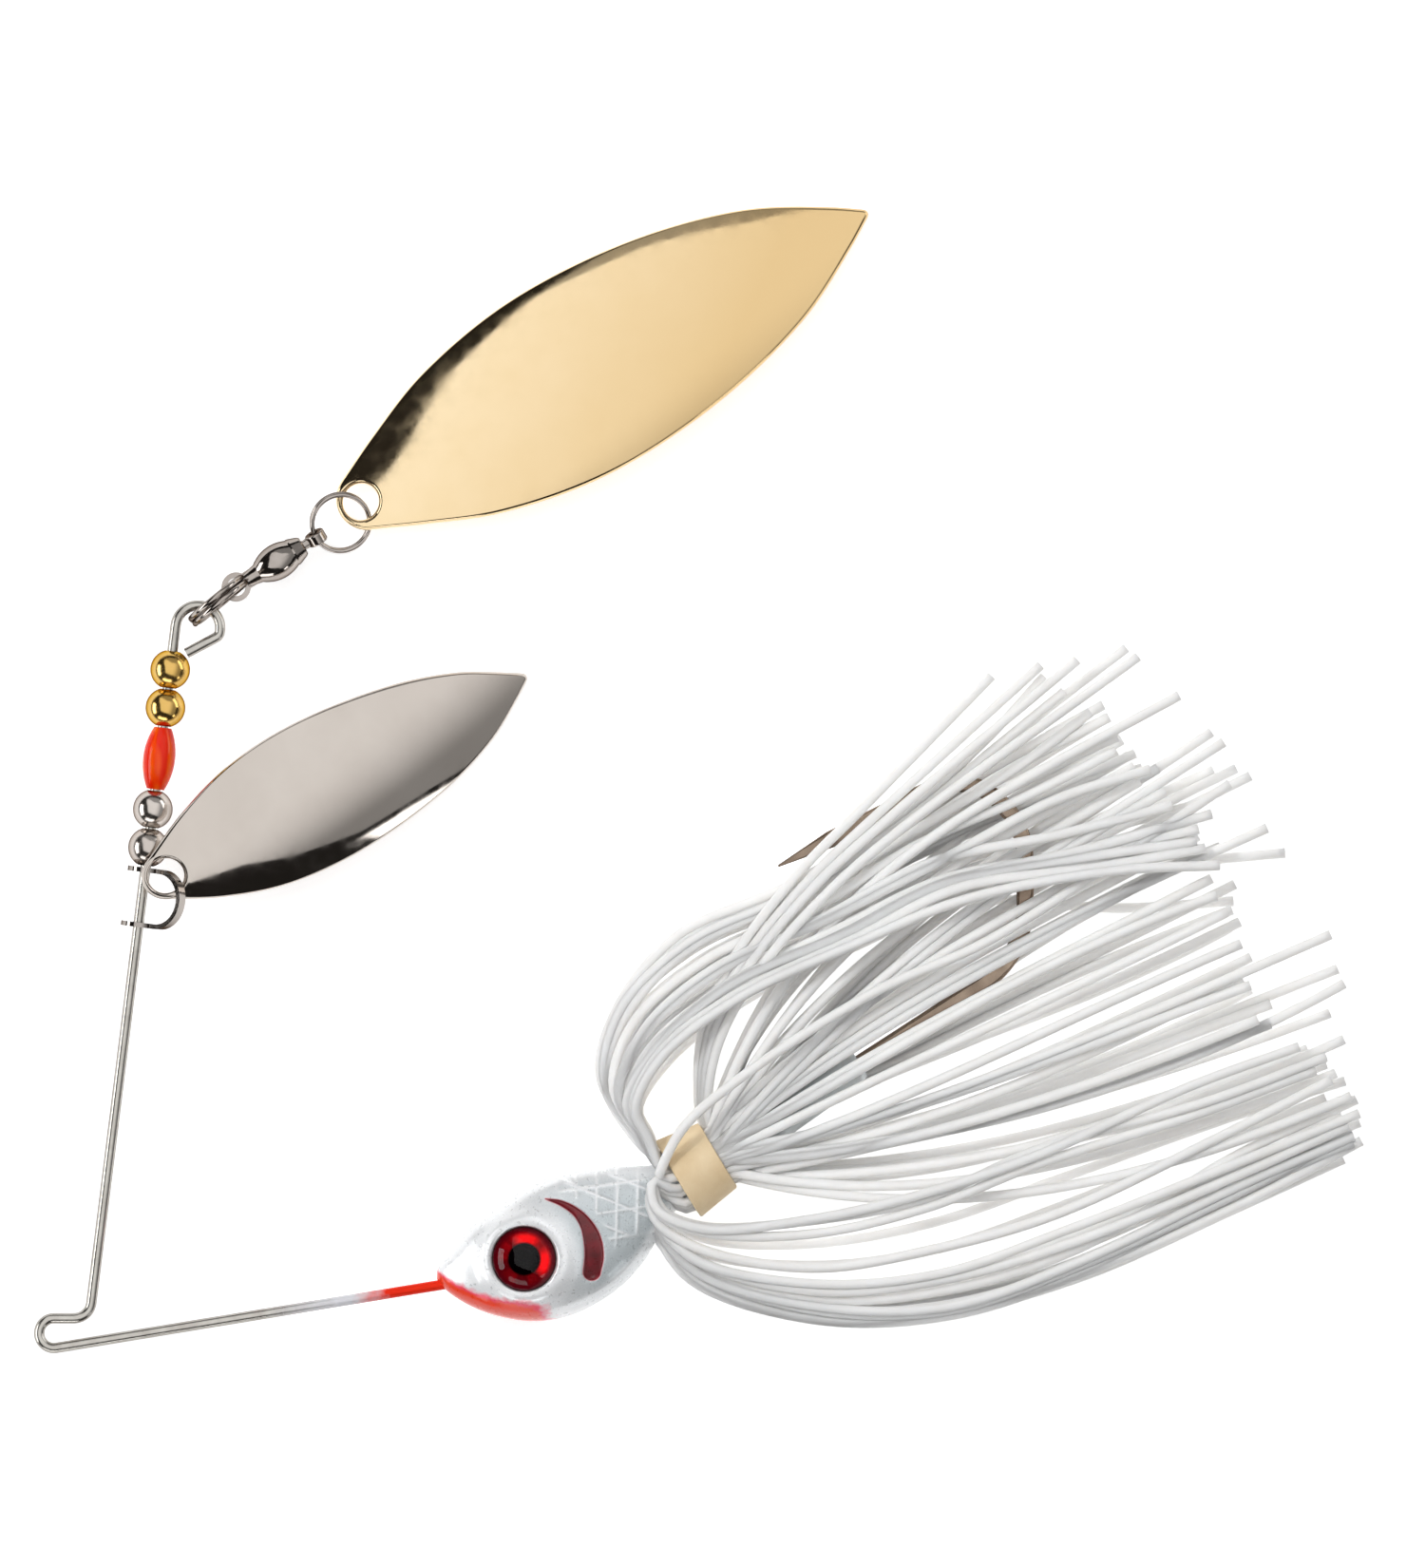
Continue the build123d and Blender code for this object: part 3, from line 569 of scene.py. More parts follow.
def blade_points(chord, half_widths, hole_radius, end, shoulder, inset):
    """Outline and hole of a blade in plan, moved into the metal by inset."""
    side = [(chord * fraction, half) for fraction, half in half_widths]
    flank = curve_through([shoulder, *side, (chord, TIP_RADIUS)], FLANK_POINTS)
    tip = arc((chord - TIP_SETBACK, 0), TIP_RADIUS, TIP_TURN, -TIP_TURN, TIP_POINTS)
    reach = (shoulder[1] ** 2 + (end + shoulder[0]) ** 2) / (2 * (end + shoulder[0]))
    half_turn = degrees(np.arcsin(shoulder[1] / reach))
    cap = arc((reach - end, 0), reach, half_turn - 180, -180 - half_turn, CAP_POINTS)
    outline = np.vstack([flank, tip, flank[::-1] * (1, -1), cap])
    keep = [outline[0]]
    for point in outline[1:]:
        if np.linalg.norm(point - keep[-1]) > OUTLINE_STEP:
            keep.append(point)
    outline = np.array(keep)
    if np.linalg.norm(outline[0] - outline[-1]) < OUTLINE_STEP:
        outline = outline[:-1]
    ahead = np.roll(outline, -1, 0) - np.roll(outline, 1, 0)
    ahead /= np.linalg.norm(ahead, axis=1)[:, None]
    inward = np.column_stack([ahead[:, 1], -ahead[:, 0]])
    hole = np.array(arc((0, 0), hole_radius + inset, 0, 360 - 360 / HOLE_POINTS, HOLE_POINTS))
    return outline + inward * inset, hole


def inside(points, loop):
    x, y = points[:, 0][:, None], points[:, 1][:, None]
    x1, y1 = loop[:, 0][None], loop[:, 1][None]
    x2, y2 = np.roll(loop, -1, 0)[:, 0][None], np.roll(loop, -1, 0)[:, 1][None]
    crosses = ((y1 > y) != (y2 > y)) & (x < (x2 - x1) * (y - y1) / (y2 - y1 + 1e-12) + x1)
    return crosses.sum(1) % 2 == 1


def willow_blade(name, body, origin, along, normal, chord, half_widths, hole_radius, end, shoulder,
                 cross_radius, long_radius, material, slot):
    """A cupped leaf of even metal with a rounded rim, dense enough to mirror smoothly."""
    along, normal = unit(along), unit(normal)
    across = np.cross(normal, along)
    middle = chord / 2
    base = sqrt(long_radius**2 - middle**2)

    def surface(flat, lift):
        x, y = flat[:, 0] - middle, flat[:, 1]
        arch = np.sqrt(cross_radius**2 - y**2)
        reach = long_radius - cross_radius + arch
        height = np.sqrt(reach**2 - x**2) - base
        slope_x, slope_y = -x / np.sqrt(reach**2 - x**2), -y / arch
        out = np.column_stack([-slope_x, -slope_y, np.ones(len(x))])
        out /= np.linalg.norm(out, axis=1)[:, None]
        local = np.column_stack([flat[:, 0], y, height]) + out * np.asarray(lift).reshape(-1, 1)
        return origin + local @ np.vstack([along, across, normal])

    outline, hole = blade_points(chord, half_widths, hole_radius, end, shoulder, RIM[0][0])
    lattice = np.array([
        (x + (row % 2) * GRID_STEP / 2, row * GRID_STEP * GRID_ROW_SHARE)
        for row in range(-GRID_ROWS, GRID_ROWS + 1)
        for x in np.arange(-3, chord + 1, GRID_STEP)
    ])
    gap = np.min(np.linalg.norm(lattice[:, None] - np.vstack([outline, hole])[None], axis=2), axis=1)
    lattice = lattice[inside(lattice, outline) & ~inside(lattice, hole) & (gap > GRID_GAP)]
    flat = np.vstack([outline, hole, lattice])
    edges = [(i, (i + 1) % len(outline)) for i in range(len(outline))]
    first = len(outline)
    edges += [(first + i, first + (i + 1) % len(hole)) for i in range(len(hole))]
    found = geometry.delaunay_2d_cdt([Vector(p) for p in flat], edges, [], 0, 1e-6)
    plan, triangles = np.array([tuple(v) for v in found[0]]), [list(f) for f in found[2]]
    centres = np.array([plan[t].mean(0) for t in triangles])
    good = inside(centres, outline) & ~inside(centres, hole)
    triangles = [t for t, ok in zip(triangles, good) if ok]
    turned = []
    for a, b, c in triangles:
        (x1, y1), (x2, y2) = plan[b] - plan[a], plan[c] - plan[a]
        turned.append([a, b, c] if x1 * y2 > x2 * y1 else [a, c, b])
    half = BLADE_METAL / 2
    top, under = surface(plan, np.full(len(plan), half)), surface(plan, np.full(len(plan), -half))
    points, count = [top, under], 2 * len(plan)
    faces = turned + [[v + len(plan) for v in t[::-1]] for t in turned]
    where = {}
    for index, sources in enumerate(found[3]):
        for source in sources:
            where[source] = index
    for start, loop_size, pick in ((0, len(outline), 0), (len(outline), len(hole), 1)):
        rings = [[where[start + i] for i in range(loop_size)]]
        for inset, share in RIM[1:-1]:
            loop = blade_points(chord, half_widths, hole_radius, end, shoulder, inset)[pick]
            points.append(surface(loop, np.full(len(loop), half * share)))
            rings.append(list(range(count, count + loop_size)))
            count += loop_size
        rings.append([where[start + i] + len(plan) for i in range(loop_size)])
        for upper, lower in zip(rings, rings[1:]):
            for i in range(loop_size):
                j = (i + 1) % loop_size
                faces.append([upper[i], upper[j], lower[j], lower[i]])
    make_piece(name, np.vstack(points), faces, body, material, slot, [body])


def blade_axes(angle, slope, roll):
    along = direction(angle, slope)
    level = direction(angle + 90)
    lift = np.cross(along, level)
    across = level * cos(radians(roll)) + lift * sin(radians(roll))
    return along, np.cross(along, across)


SMALL_BLADE = {
    "chord": 35.3, "hole_radius": 1.5, "end": 2.05, "shoulder": (-0.8, 1.9),
    "half_widths": [(0.1, 4.05), (0.25, 5.75), (0.44, 6.3), (0.7, 5.15), (0.86, 3.3), (0.945, 1.65)],
    "cross_radius": 12.5, "long_radius": 78.0,
}
LARGE_BLADE = {
    "chord": 49.7, "hole_radius": 1.55, "end": 2.1, "shoulder": (-0.7, 2.4),
    "half_widths": [(0.08, 4.6), (0.2, 7.0), (0.39, 8.7), (0.62, 8.05), (0.82, 5.45), (0.95, 2.05)],
    "cross_radius": 18.0, "long_radius": 118.0,
}
SMALL_LIE = (29.1, -9.5, 10.0)      # angle in plan, slope and roll of each blade at rest
LARGE_LIE = (29.8, -1.7, -8.0)
CLEVIS_LEG = 2.35                   # from the clevis bend's centre to the blade's hole
CLEVIS_HANG = 62                    # where the small blade hangs round that bend
SMALL_HANG = -0.55                  # its shift across the arm
LINK_RING_RADIUS, LINK_RING_WIRE = 2.75, 0.27
BLADE_RING_RADIUS, BLADE_RING_WIRE = 2.475, 0.2
BLADE_RING_HANG = 15                # where the large blade hangs round its ring


def make_blades(nickel, gold):
    swing = axis_of("small_blade_swing")
    out = np.cross(ARM, swing)
    hang = radians(CLEVIS_HANG)
    on_bend = place("small_blade_swing") + (out * cos(hang) + ARM * sin(hang)) * CLEVIS_LEG
    willow_blade("nickel_blade", "small_blade", on_bend + ARM_SIDE * SMALL_HANG, *blade_axes(*SMALL_LIE),
                 material=nickel, slot="nickel_plate", **SMALL_BLADE)
    centre, lift = place("large_blade_swing"), axis_of("large_blade_swing")
    out = unit(centre - place("blade_ring_swing"))
    left = np.cross(lift, out)
    hang = radians(BLADE_RING_HANG)
    on_ring = centre + (out * cos(hang) + left * sin(hang)) * BLADE_RING_RADIUS
    willow_blade("gold_blade", "large_blade", on_ring, *blade_axes(*LARGE_LIE),
                 material=gold, slot="gold_plate", **LARGE_BLADE)


# ---- split rings -----------------------------------------------------------------------------
RING_POINTS = 220
CROSSING = (tau - 0.55, tau + 0.1)     # radians along the wire, where it changes over
TURN_PITCH = 1.03                      # distance between the two turns, in wire thicknesses


def split_ring(name, body, centre, axis, radius, wire, start, material, slot):
    """Two turns of round wire of radius wire, side by side.

    Halfway along, beside the two free ends, the wire crosses from one turn to the other.
    """
    axis = unit(axis)
    side = unit(np.cross(axis, start))
    ahead = np.cross(side, axis)
    turns = np.linspace(0, 2 * tau, RING_POINTS)
    cross = smooth_step(turns, *CROSSING)
    shift = (cross - 0.5) * 2 * wire * TURN_PITCH
    path = (centre + radius * (np.cos(turns)[:, None] * ahead + np.sin(turns)[:, None] * side)
            + shift[:, None] * axis)
    make_piece(name, *tube(path, wire, 14), body, material, slot, [body])


# ---- head -------------------------------------------------------------------------------------
HEAD_AXIS = direction(23.7)
HEAD_SIDE = direction(113.7)
SHANK = direction(32.9)
HOOK_EYE = np.array([-9.2, -38.68, 0.0])
NOSE = np.array([-22.6, -43.25, 0.0])
HEAD_TOP = [(-0.35, 0.7), (0.1, 1.5), (1.85, 2.5), (4, 3.73), (6.6, 4.43), (9.2, 4.86), (12.4, 4.88),
            (15.3, 4.28), (18, 3.25), (20.6, 2.1), (22.6, 2.0)]
HEAD_BOTTOM = [(-0.35, 0.55), (-0.1, -0.35), (0.7, -1.75), (2.3, -3.6), (4.7, -5.4), (6.7, -6.3),
               (8.8, -6.75), (11.2, -6.7), (13.8, -6.2), (16.3, -5.1), (18.5, -3.6), (20.6, -2.2),
               (22.6, -2.0)]
HEAD_THICK = [(-0.35, 0.1), (0.1, 0.95), (1.2, 1.75), (3, 2.7), (6, 3.62), (9.5, 4.15), (12.5, 4.1),
              (16, 3.5), (18.6, 2.75), (20.6, 2.1), (22.6, 2.0)]


def head_profile(table, stations):
    line = curve_through(table, 400)
    return np.interp(stations, line[:, 0], line[:, 1])


GILL = [(-13.87, -35.87, 0.05), (-12.5, -36.25, 0.22), (-11.25, -37.0, 0.34), (-10.4, -38.05, 0.52),
        (-9.9, -39.3, 0.72), (-9.75, -40.7, 0.79), (-9.95, -42.05, 0.74)]


CHEEK_RISE, RIDGE_RISE, GILL_DEPTH, SCALE_RISE = 0.3, 0.22, 0.36, 0.12
SCALE_LINES = ((89.0, 1.75, 0.1), (157.0, 2.1, 0.35), (8.0, 2.3, 0.6))     # direction, pitch, shift
SCALE_LINE_WIDTH = 0.13


def head_relief(x, y):
    """Height of the cast relief in side view, and the paint masks; x, y in plan millimetres."""
    from_eye = np.hypot(x - EYE[0], y - EYE[1])
    line = even(curve_through(GILL, 60), 60)
    off = np.min([np.hypot(x - px, y - py) - half for px, py, half in line], axis=0)
    gill = 1 - smooth_step(off, -0.1, 0.1)
    cheek = 1 - smooth_step(np.hypot(x - EYE[0] - 1.2, y - EYE[1] + 0.1), 3.6, 5.6)
    ridge = np.exp(-((from_eye - 3.5) / 0.62) ** 2)
    along = (x - NOSE[0]) * HEAD_AXIS[0] + (y - NOSE[1]) * HEAD_AXIS[1]
    across = (x - NOSE[0]) * HEAD_SIDE[0] + (y - NOSE[1]) * HEAD_SIDE[1]
    area = smooth_step(along, 11.6, 13.0) * (1 - smooth_step(along, 18.6, 19.8))
    area = area * smooth_step(across, -3.4, -1.8) * smooth_step(off, 0.5, 0.9)
    lines = 0
    for turn, pitch, shift in SCALE_LINES:
        way = direction(turn)
        phase = (x * way[1] - y * way[0]) / pitch + shift
        lines = np.maximum(lines, np.exp(-((phase - np.round(phase)) / (SCALE_LINE_WIDTH / pitch)) ** 2))
    relief = CHEEK_RISE * cheek + RIDGE_RISE * ridge - GILL_DEPTH * gill + SCALE_RISE * lines * area
    return relief, gill, area * lines, along, across, from_eye


HEAD_ROWS, HEAD_COLUMNS = 216, 320
HEAD_SQUARENESS = 2 / 2.35        # of the section: 1 is an ellipse
EYE_SEAT = 3.27                   # height of the eye's seat above the wire's plane
EYE_SEAT_RADIUS = (2.74, 2.86)    # where the seat starts to end, and ends
EYE_CHEEK = 4.4                   # outside this radius the head keeps its own height


def make_head(paint, lead):
    stations = np.concatenate([-0.35 + 1.35 * (1 - np.cos(np.linspace(0, pi / 2, 16)[:-1])),
                               np.linspace(1.0, HEAD_TOP[-1][0], HEAD_ROWS)])
    top, bottom = head_profile(HEAD_TOP, stations), head_profile(HEAD_BOTTOM, stations)
    thick = head_profile(HEAD_THICK, stations)
    around = np.linspace(0, tau, HEAD_COLUMNS, endpoint=False)
    cosine, sine = np.cos(around), np.sin(around)
    high = np.sign(cosine) * np.abs(cosine) ** HEAD_SQUARENESS
    wide = np.sign(sine) * np.abs(sine) ** HEAD_SQUARENESS
    middle, half = (top + bottom) / 2, (top - bottom) / 2
    offset = middle[:, None] + half[:, None] * high[None]
    depth = thick[:, None] * wide[None]
    x = NOSE[0] + stations[:, None] * HEAD_AXIS[0] + offset * HEAD_SIDE[0]
    y = NOSE[1] + stations[:, None] * HEAD_AXIS[1] + offset * HEAD_SIDE[1]
    relief, gill, scales, along, across, from_eye = head_relief(x, y)
    facing = smooth_step(np.abs(wide[None]) * np.ones_like(x), 0.25, 0.7)
    depth = depth + np.sign(depth) * relief * facing
    in_seat = 1 - smooth_step(from_eye, *EYE_SEAT_RADIUS)
    rim = np.exp(-((from_eye - 3.15) / 0.28) ** 2)
    raised = (EYE_SEAT + 0.42 * rim) * (1 - smooth_step(from_eye, 3.35, EYE_CHEEK))
    raised = np.maximum(np.abs(depth), raised) * (1 - in_seat) + EYE_SEAT * in_seat
    depth = np.where(from_eye < EYE_CHEEK, np.sign(depth) * raised, depth)
    from_edge = across - bottom[:, None]
    low = from_edge / (top - bottom)[:, None]
    throat = (1 - smooth_step(from_edge, 0.8, 2.7)) * (1 - smooth_step(along, 5.0, 8.4))
    throat = np.maximum(throat, (1 - smooth_step(along, 0.2, 1.6)) * (1 - smooth_step(low, 0.25, 0.6)))
    border = smooth_step(from_edge, 0.8, 1.5) * smooth_step(top[:, None] - across, 0.7, 1.6)
    # grey flake paint over the rear of the head, lighter on the raised border band and the scale lines;
    # its fading towards the upper edge is painted shade, lighter on the side that faces the light
    flake_and_painted_shade = smooth_step(along, 7.5, 13.5) * (0.25 + 0.75 * border)
    flake_and_painted_shade = flake_and_painted_shade * (1 - 0.45 * smooth_step(low, 0.55, 0.95)) * smooth_step(from_eye, 3.6, 5.2)
    flake_and_painted_shade = np.clip(flake_and_painted_shade - 0.8 * scales, 0, 1)
    depth = depth - np.sign(depth) * 0.1 * border * facing * smooth_step(along, 2.0, 5.0)
    points = np.column_stack([x.ravel(), y.ravel(), (WIRE_Z + depth).ravel()])
    masks = np.column_stack([throat.ravel(), (gill * facing).ravel(), flake_and_painted_shade.ravel()])
    rows, columns = x.shape
    faces = sleeve(rows, columns)
    make_piece("head_shell", points, faces, "frame", paint, "painted_lead", ["lead_head"], masks)

    start = HOOK_EYE + UP * WIRE_Z
    keeper = [(13.0, 0.0), (13.0, 2.0), (16.5, 2.0), (22.0, 1.78), (25.6, 1.5), (26.2, 1.25), (26.3, 0.9),
              (26.3, 0.0)]
    parts = [lathe(keeper, start, SHANK, 48)]
    side = np.cross(UP, SHANK)
    spike = curve_through([start + SHANK * 22.8 + side * 0.8, start + SHANK * 21.3 + side * 2.2,
                           start + SHANK * 19.9 + side * 3.05], 14)
    parts.append(tube(spike, np.linspace(1.25, 0.12, 14), 20, flat=(UP, 0.75)))
    make_piece("bait_keeper", *joined(parts), "frame", lead, "painted_lead")


# ---- skirt strands ---------------------------------------------------------------------------------
STRAND = 0.44                     # radius of one strand
SKIRT_TOP = 9.75                  # highest centre line of a strand
COLLAR = np.array([-0.93, -33.25, WIRE_Z])
COLLAR_WAY = direction(31.0)
NECK = 2.05                       # radius of the lead under and behind the band
NECK_ENDS = (12, 27)              # along the hook's shank
HEAD_ENDS = (5, 21.5)             # along the head, where strands pass over it
HEAD_GAP = 0.15                   # between the head and a strand
HEAD_ARCH = 2.4                   # power of the arch that strands make over it: 2 is an ellipse
HOOK_REACH = 1.5                  # from the hook's line, where strands pass over it
HOOK_HALF = 0.5                   # half of the hook's thickness
HOOK_GAP = 0.1
TABLE_GAP = 0.02
EASING_ROUNDS = 30
FAN = np.array([-1.0, -30.0])     # the tips' reach is measured from here
TIP_LINE = 55.4                   # that reach for the lowest tips, and how much less it is above
TIP_LINE_DROP = 6.2
LONG_TIP = 6.3                    # how far a few tips pass the others
HOOK_LINE = curve_through([(10.0, -25.9), (23.3, -17.6), (26.2, -14.6), (27.0, -10.9), (27.0, -7.0),
                           (24.6, -2.0), (21.5, -0.7), (18.2, -1.4), (5.9, -7.6)], 160)


def clearance(plan):
    """How far from the wire's plane a strand has to pass at these plan points."""
    need = np.zeros(len(plan))
    to_hook = np.min(np.linalg.norm(plan[:, None] - HOOK_LINE[None], axis=2), axis=1)
    need = np.maximum(need, np.where(to_hook < HOOK_REACH, HOOK_HALF + STRAND + HOOK_GAP, 0))
    rel = plan - HOOK_EYE[:2]
    along, off = rel @ SHANK[:2], np.abs(rel @ np.array([-SHANK[1], SHANK[0]]))
    neck = np.sqrt(np.clip((NECK + STRAND) ** 2 - off**2, 0, None))
    need = np.maximum(need, np.where((along > NECK_ENDS[0]) & (along < NECK_ENDS[1]), neck, 0))
    rel = plan - NOSE[:2]
    along, off = rel @ HEAD_AXIS[:2], rel @ HEAD_SIDE[:2]
    thick, top, bottom = (head_profile(t, along) for t in (HEAD_THICK, HEAD_TOP, HEAD_BOTTOM))
    share = np.clip(np.abs(off - (top + bottom) / 2) / np.maximum((top - bottom) / 2 + STRAND, 0.1), 0, 1)
    over = (thick + STRAND + HEAD_GAP) * (1 - share**HEAD_ARCH) ** (1 / HEAD_ARCH)
    return np.maximum(need, np.where((along > HEAD_ENDS[0]) & (along < HEAD_ENDS[1]), over, 0))


def settle(path, above, start_free=10):
    """Lifts a strand clear of the hook, neck and head, keeps it above the table, and eases it."""
    path = path.copy()
    sign = 1 if above else -1
    need = clearance(path[:, :2])
    for _ in range(EASING_ROUNDS):
        height = (path[:, 2] - WIRE_Z) * sign
        height[start_free:] = np.maximum(height[start_free:], need[start_free:])
        path[:, 2] = WIRE_Z + sign * height
        path[:, 2] = np.clip(path[:, 2], STRAND + TABLE_GAP, SKIRT_TOP)
        inner = (path[:-2, 2] + path[2:, 2]) / 2
        path[1:-1, 2] = 0.5 * path[1:-1, 2] + 0.5 * inner
    return path


def tip_reach(angle):
    """The cut end's distance from FAN: most in one line, with a few left longer."""
    longer = LONG_TIP * (rng.uniform() < 0.2) * smooth_step(angle, 4, 12)
    return TIP_LINE - TIP_LINE_DROP * smooth_step(angle, 2, 12) + longer + rng.normal(0, 0.7)


def rear_strand(above, angle):
    """From the middle of the band out to its tip."""
    side = np.cross(UP, COLLAR_WAY)
    sign = 1 if above else -1
    turn = np.clip(0.35 + (47 - angle) / 44 * 2.4 + rng.normal(0, 0.35), 0.1, pi - 0.1)
    ring = 2.3 * (cos(turn) * side + sin(turn) * UP * sign)
    reach = tip_reach(angle)
    layer = rng.uniform(1.2, 4.2)
    level = WIRE_Z + sign * layer * rng.uniform(0.5, 0.95)
    tip = np.array([*(FAN + reach * direction(angle)[:2]), level])
    leave = COLLAR + COLLAR_WAY * 2.3 + ring
    out = 31 + 1.85 * (angle - 25) + rng.normal(0, 4.5)
    back = 22 + 0.15 * angle + rng.normal(0, 2.5)
    first = leave + direction(out) * reach * (0.3 + 0.1 * smooth_step(angle, 22, 42))
    first = first + UP * sign * (layer - ring[2] * sign)
    second = tip - direction(back) * reach * 0.38
    t = np.linspace(0, 1, 60)[:, None]
    path = (1 - t) ** 3 * leave + 3 * t * (1 - t) ** 2 * first + 3 * t**2 * (1 - t) * second + t**3 * tip
    path = np.vstack([COLLAR + ring, COLLAR + COLLAR_WAY * 1.2 + ring, path])
    return settle(even(path, 64), above)


def steep_strand(share):
    """One of the few that leave the back of the band almost upright and curve over the hook."""
    angle, reach = 57 - 10 * share, 46 + 9 * share
    shift = np.array([2.2, -0.9]) * share
    tip = FAN + reach * direction(angle)[:2]
    start = COLLAR + COLLAR_WAY * 1.8 + direction(121) * (2.2 - 1.2 * share)
    flat = [(-0.9, -27.6), (-0.6, -21.9), (2.0, -15.6), (7.6, -8.2), (13.1, -2.6)]
    layer = 3.0 + share
    points = [start - COLLAR_WAY * 1.8, start]
    points += [(*(np.array(p) + shift * (k + 1) / 3), WIRE_Z + layer * min(1, 0.4 + k / 3))
               for k, p in enumerate(flat)]
    points.append((*tip, WIRE_Z + layer * 0.6))
    return settle(curve_through(points, 72), True)


def front_strand(share, upper, above):
    """Out of the band's front, folded back outside it. share 0 is the outermost loop."""
    side = np.cross(UP, COLLAR_WAY) * (1 if upper else -1)
    sign = 1 if above else -1
    ring = 2.6 * (cos(share * 1.35) * side + sin(share * 1.35) * UP * sign)
    layer = 1.0 + 4.0 * share**0.8 + rng.normal(0, 0.25)
    if upper:
        angle = 53 - 29 * share + rng.normal(0, 1.4)
        belly = np.array([
            (-6.9, -29.6), (-9.4, -25.3), (-8.2, -18.8), (-2.8, -13.2), (6.2, -9.0), (15.4, -2.9),
        ])
        inner = np.array([
            (-5.3, -30.6), (-6.0, -28.2), (-3.6, -24.3), (3.2, -19.3), (13.0, -14.6), (22.0, -10.8),
        ])
    else:
        angle = -1.5 + 8.5 * share + rng.normal(0, 0.9)
        belly = np.array([
            (-5.4, -35.0), (-4.6, -38.6), (-1.2, -42.8), (9.5, -46.3), (20.5, -46.0), (32.0, -42.6),
        ])
        inner = np.array([
            (-4.6, -34.6), (-4.2, -36.9), (-0.4, -38.3), (8.5, -37.6), (18.0, -35.4), (28.0, -31.6),
        ])
    belly = belly + (inner - belly) * share + rng.normal(0, 0.16, belly.shape)
    tip = FAN + tip_reach(angle) * direction(angle)[:2]
    near = tip - (tip - belly[-1]) * 0.42 + rng.normal(0, 0.3, 2)
    climb = sign * layer * np.array([0.55 + 0.2 * share, 0.95, 1.05, 1.0, 1.0, 1.0])
    points = [COLLAR + ring * 0.9, COLLAR - COLLAR_WAY * 2.5 + ring]
    points += [(*flat, WIRE_Z + up) for flat, up in zip(belly, climb)]
    points += [(*near, WIRE_Z + layer * sign * 0.9)]
    points += [(*tip, WIRE_Z + layer * sign * rng.uniform(0.5, 0.9))]
    return settle(curve_through(points, 84), above, 14)


def over_band():
    """The one that is folded back straight over the band."""
    tip = FAN + 54 * direction(33)[:2]
    points = [
        COLLAR - COLLAR_WAY * 1.0 + UP * 2.5, COLLAR - COLLAR_WAY * 3.2 + UP * 3.0 + direction(121) * 0.9,
        (-4.0, -33.2, 9.0), (-2.2, -29.8, 9.7), (2.6, -25.6, 9.4), (14.0, -18.3, 8.8),
        (*(FAN * 0.45 + tip * 0.55), 8.4), (*tip, 7.4),
    ]
    return settle(curve_through(points, 76), True, 14)


def make_skirt(material):
    rear_above, rear_below = np.linspace(4, 45, 24), np.linspace(5, 47, 24)
    shares = [np.sort(rng.uniform(0, 1, count)) for count in (12, 13, 11, 11)]
    groups = {
        "skirt_rear_above": [rear_strand(True, angle + rng.normal(0, 0.9)) for angle in rear_above]
        + [steep_strand(share) for share in (0.0, 0.35, 0.6, 1.0)],
        "skirt_rear_below": [rear_strand(False, angle + rng.normal(0, 0.9)) for angle in rear_below],
        "skirt_flare_above": [front_strand(share, True, True) for share in shares[0] ** 0.75]
        + [front_strand(share, False, True) for share in shares[1] ** 1.3] + [over_band()],
        "skirt_flare_below": [front_strand(share, True, False) for share in shares[2]]
        + [front_strand(share, False, False) for share in shares[3] ** 1.3],
    }
    stands_for = {"skirt_rear_above": ["skirt_above_hook"], "skirt_rear_below": ["skirt_below_hook"]}
    lengths = []
    for name, strands in groups.items():
        lengths += [np.linalg.norm(np.diff(s, axis=0), axis=1).sum() for s in strands]
        parts = [tube(strand, STRAND, 10) for strand in strands]
        make_piece(name, *joined(parts), "frame", material, "skirt_silicone", stands_for.get(name, []))
    print("strand halves", len(lengths), "lengths", round(min(lengths), 1), round(max(lengths), 1))


# ---- making -------------------------------------------------------------------------------------------
SHEET_WAVES = (6000, 0.0000007)
GREY_EDGE, DARK_EDGE = (0.16, 0.13, 0.11), (0.12, 0.1, 0.09)
BEAD_POLISH = (0.15, 0.23)

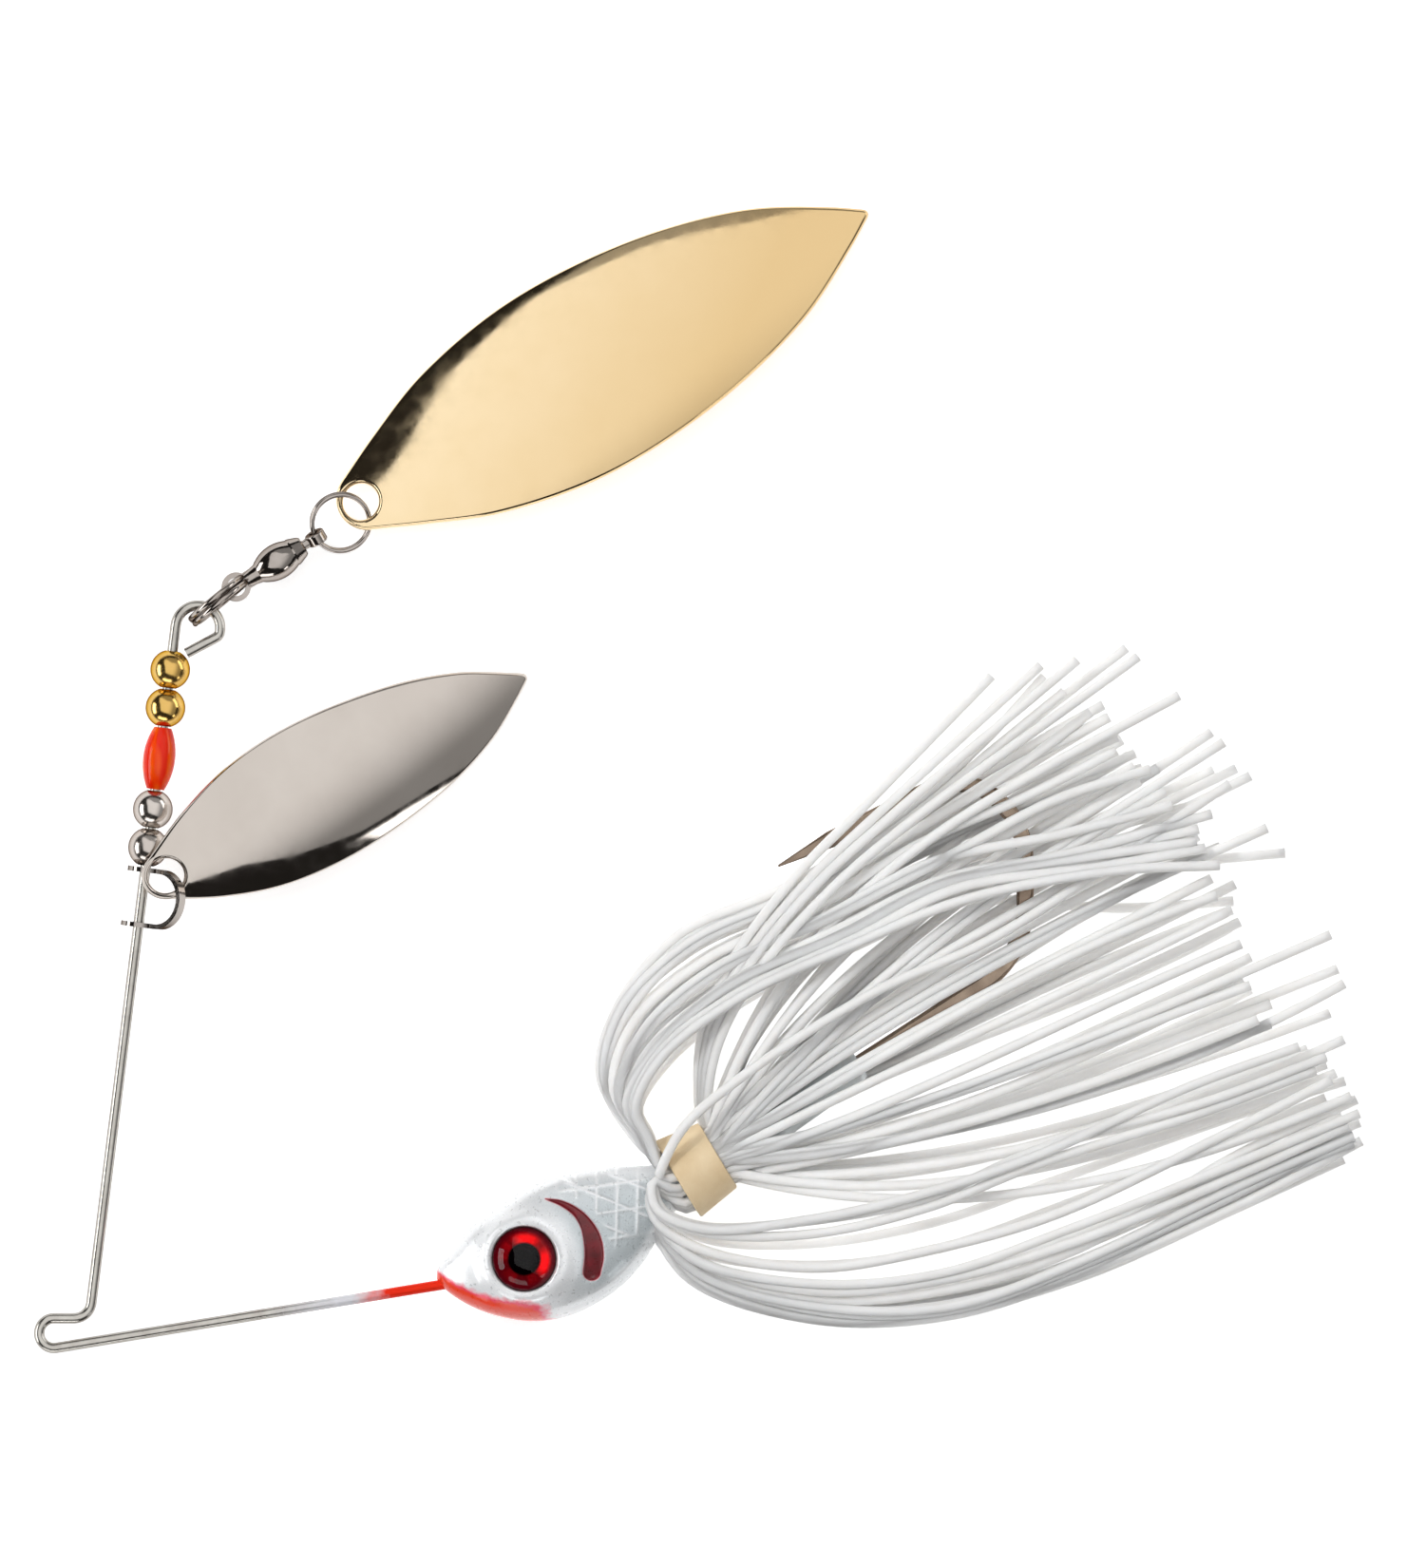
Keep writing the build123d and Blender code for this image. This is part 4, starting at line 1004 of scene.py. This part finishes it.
make_camera()
make_stage()
nickel = plated_metal("nickel_plate", (0.575, 0.525, 0.48), (0.54, 0.49, 0.445), waves=SHEET_WAVES)
gold = plated_metal("gold_plate", (0.88, 0.71, 0.46), (0.85, 0.67, 0.41), waves=SHEET_WAVES)
# painted reflection: the gold blade turns darker and more orange towards its lower right, where it would
# mirror less light
painted_reflection_falloff(gold, (0.71, 0.51, 0.26), (0.9, -0.43, 0), -0.034, -0.014)
nickel_bead = plated_metal("nickel_bead", (0.62, 0.57, 0.53), (0.5, 0.45, 0.41), BEAD_POLISH,
                           edge=GREY_EDGE)
gold_bead = plated_metal("gold_bead", (0.75, 0.5, 0.17), (0.68, 0.42, 0.11), BEAD_POLISH,
                         edge=(0.2, 0.1, 0.02))
clevis_nickel = plated_metal("clevis_nickel", (0.42, 0.385, 0.36), (0.34, 0.31, 0.285), edge=DARK_EDGE)
dark = plated_metal("dark_nickel", (0.46, 0.42, 0.39), (0.36, 0.32, 0.29), (0.06, 0.16), 120,
                    edge=DARK_EDGE)
bronze = plated_metal("hook_bronze", (0.36, 0.28, 0.215), (0.14, 0.1, 0.075), (0.12, 0.26), 90,
                      (900, 0.00001), edge=(0.1, 0.06, 0.04))
lead = plated_metal("bare_lead", (0.72, 0.75, 0.76), (0.6, 0.63, 0.64), (0.4, 0.6), 200, (1600, 0.00004))

make_blades(nickel, gold)
split_ring("link_split_ring", "link_ring", place("barrel_swing"), axis_of("barrel_swing"),
           LINK_RING_RADIUS, LINK_RING_WIRE, -direction(39.5), dark, "dark_nickel")
split_ring("blade_split_ring", "blade_ring", place("large_blade_swing"), axis_of("large_blade_swing"),
           BLADE_RING_RADIUS, BLADE_RING_WIRE, direction(200), dark, "dark_nickel")
make_head(head_paint(), lead)
make_skirt(silicone())

for material, slot, names in (
    (lower_arm_wire(), "stainless_wire", ["wire_frame"]),
    (bronze, "hook_steel", ["hook"]),
    (band_rubber(), "collar_rubber", ["skirt_collar"]),
    (nickel_bead, "nickel_plate", ["bead_nickel_lower", "bead_nickel_upper"]),
    (orange_plastic(), "orange_plastic", ["bead_orange"]),
    (gold_bead, "gold_plate", ["bead_gold_lower", "bead_gold_upper"]),
    (clevis_nickel, "nickel_plate", ["clevis"]),
    (dark, "dark_nickel",
     ["swivel_barrel", "swivel_cap", "swivel_post", "swivel_balls", "swivel_washer"]),
    (eye_print_painted_glint(), "eye_foil", ["eye_foil_left", "eye_foil_right"]),
    (clear_dome(), "clear_dome", ["eye_dome_left", "eye_dome_right"]),
):
    for name in names:
        keep_node(name, material)
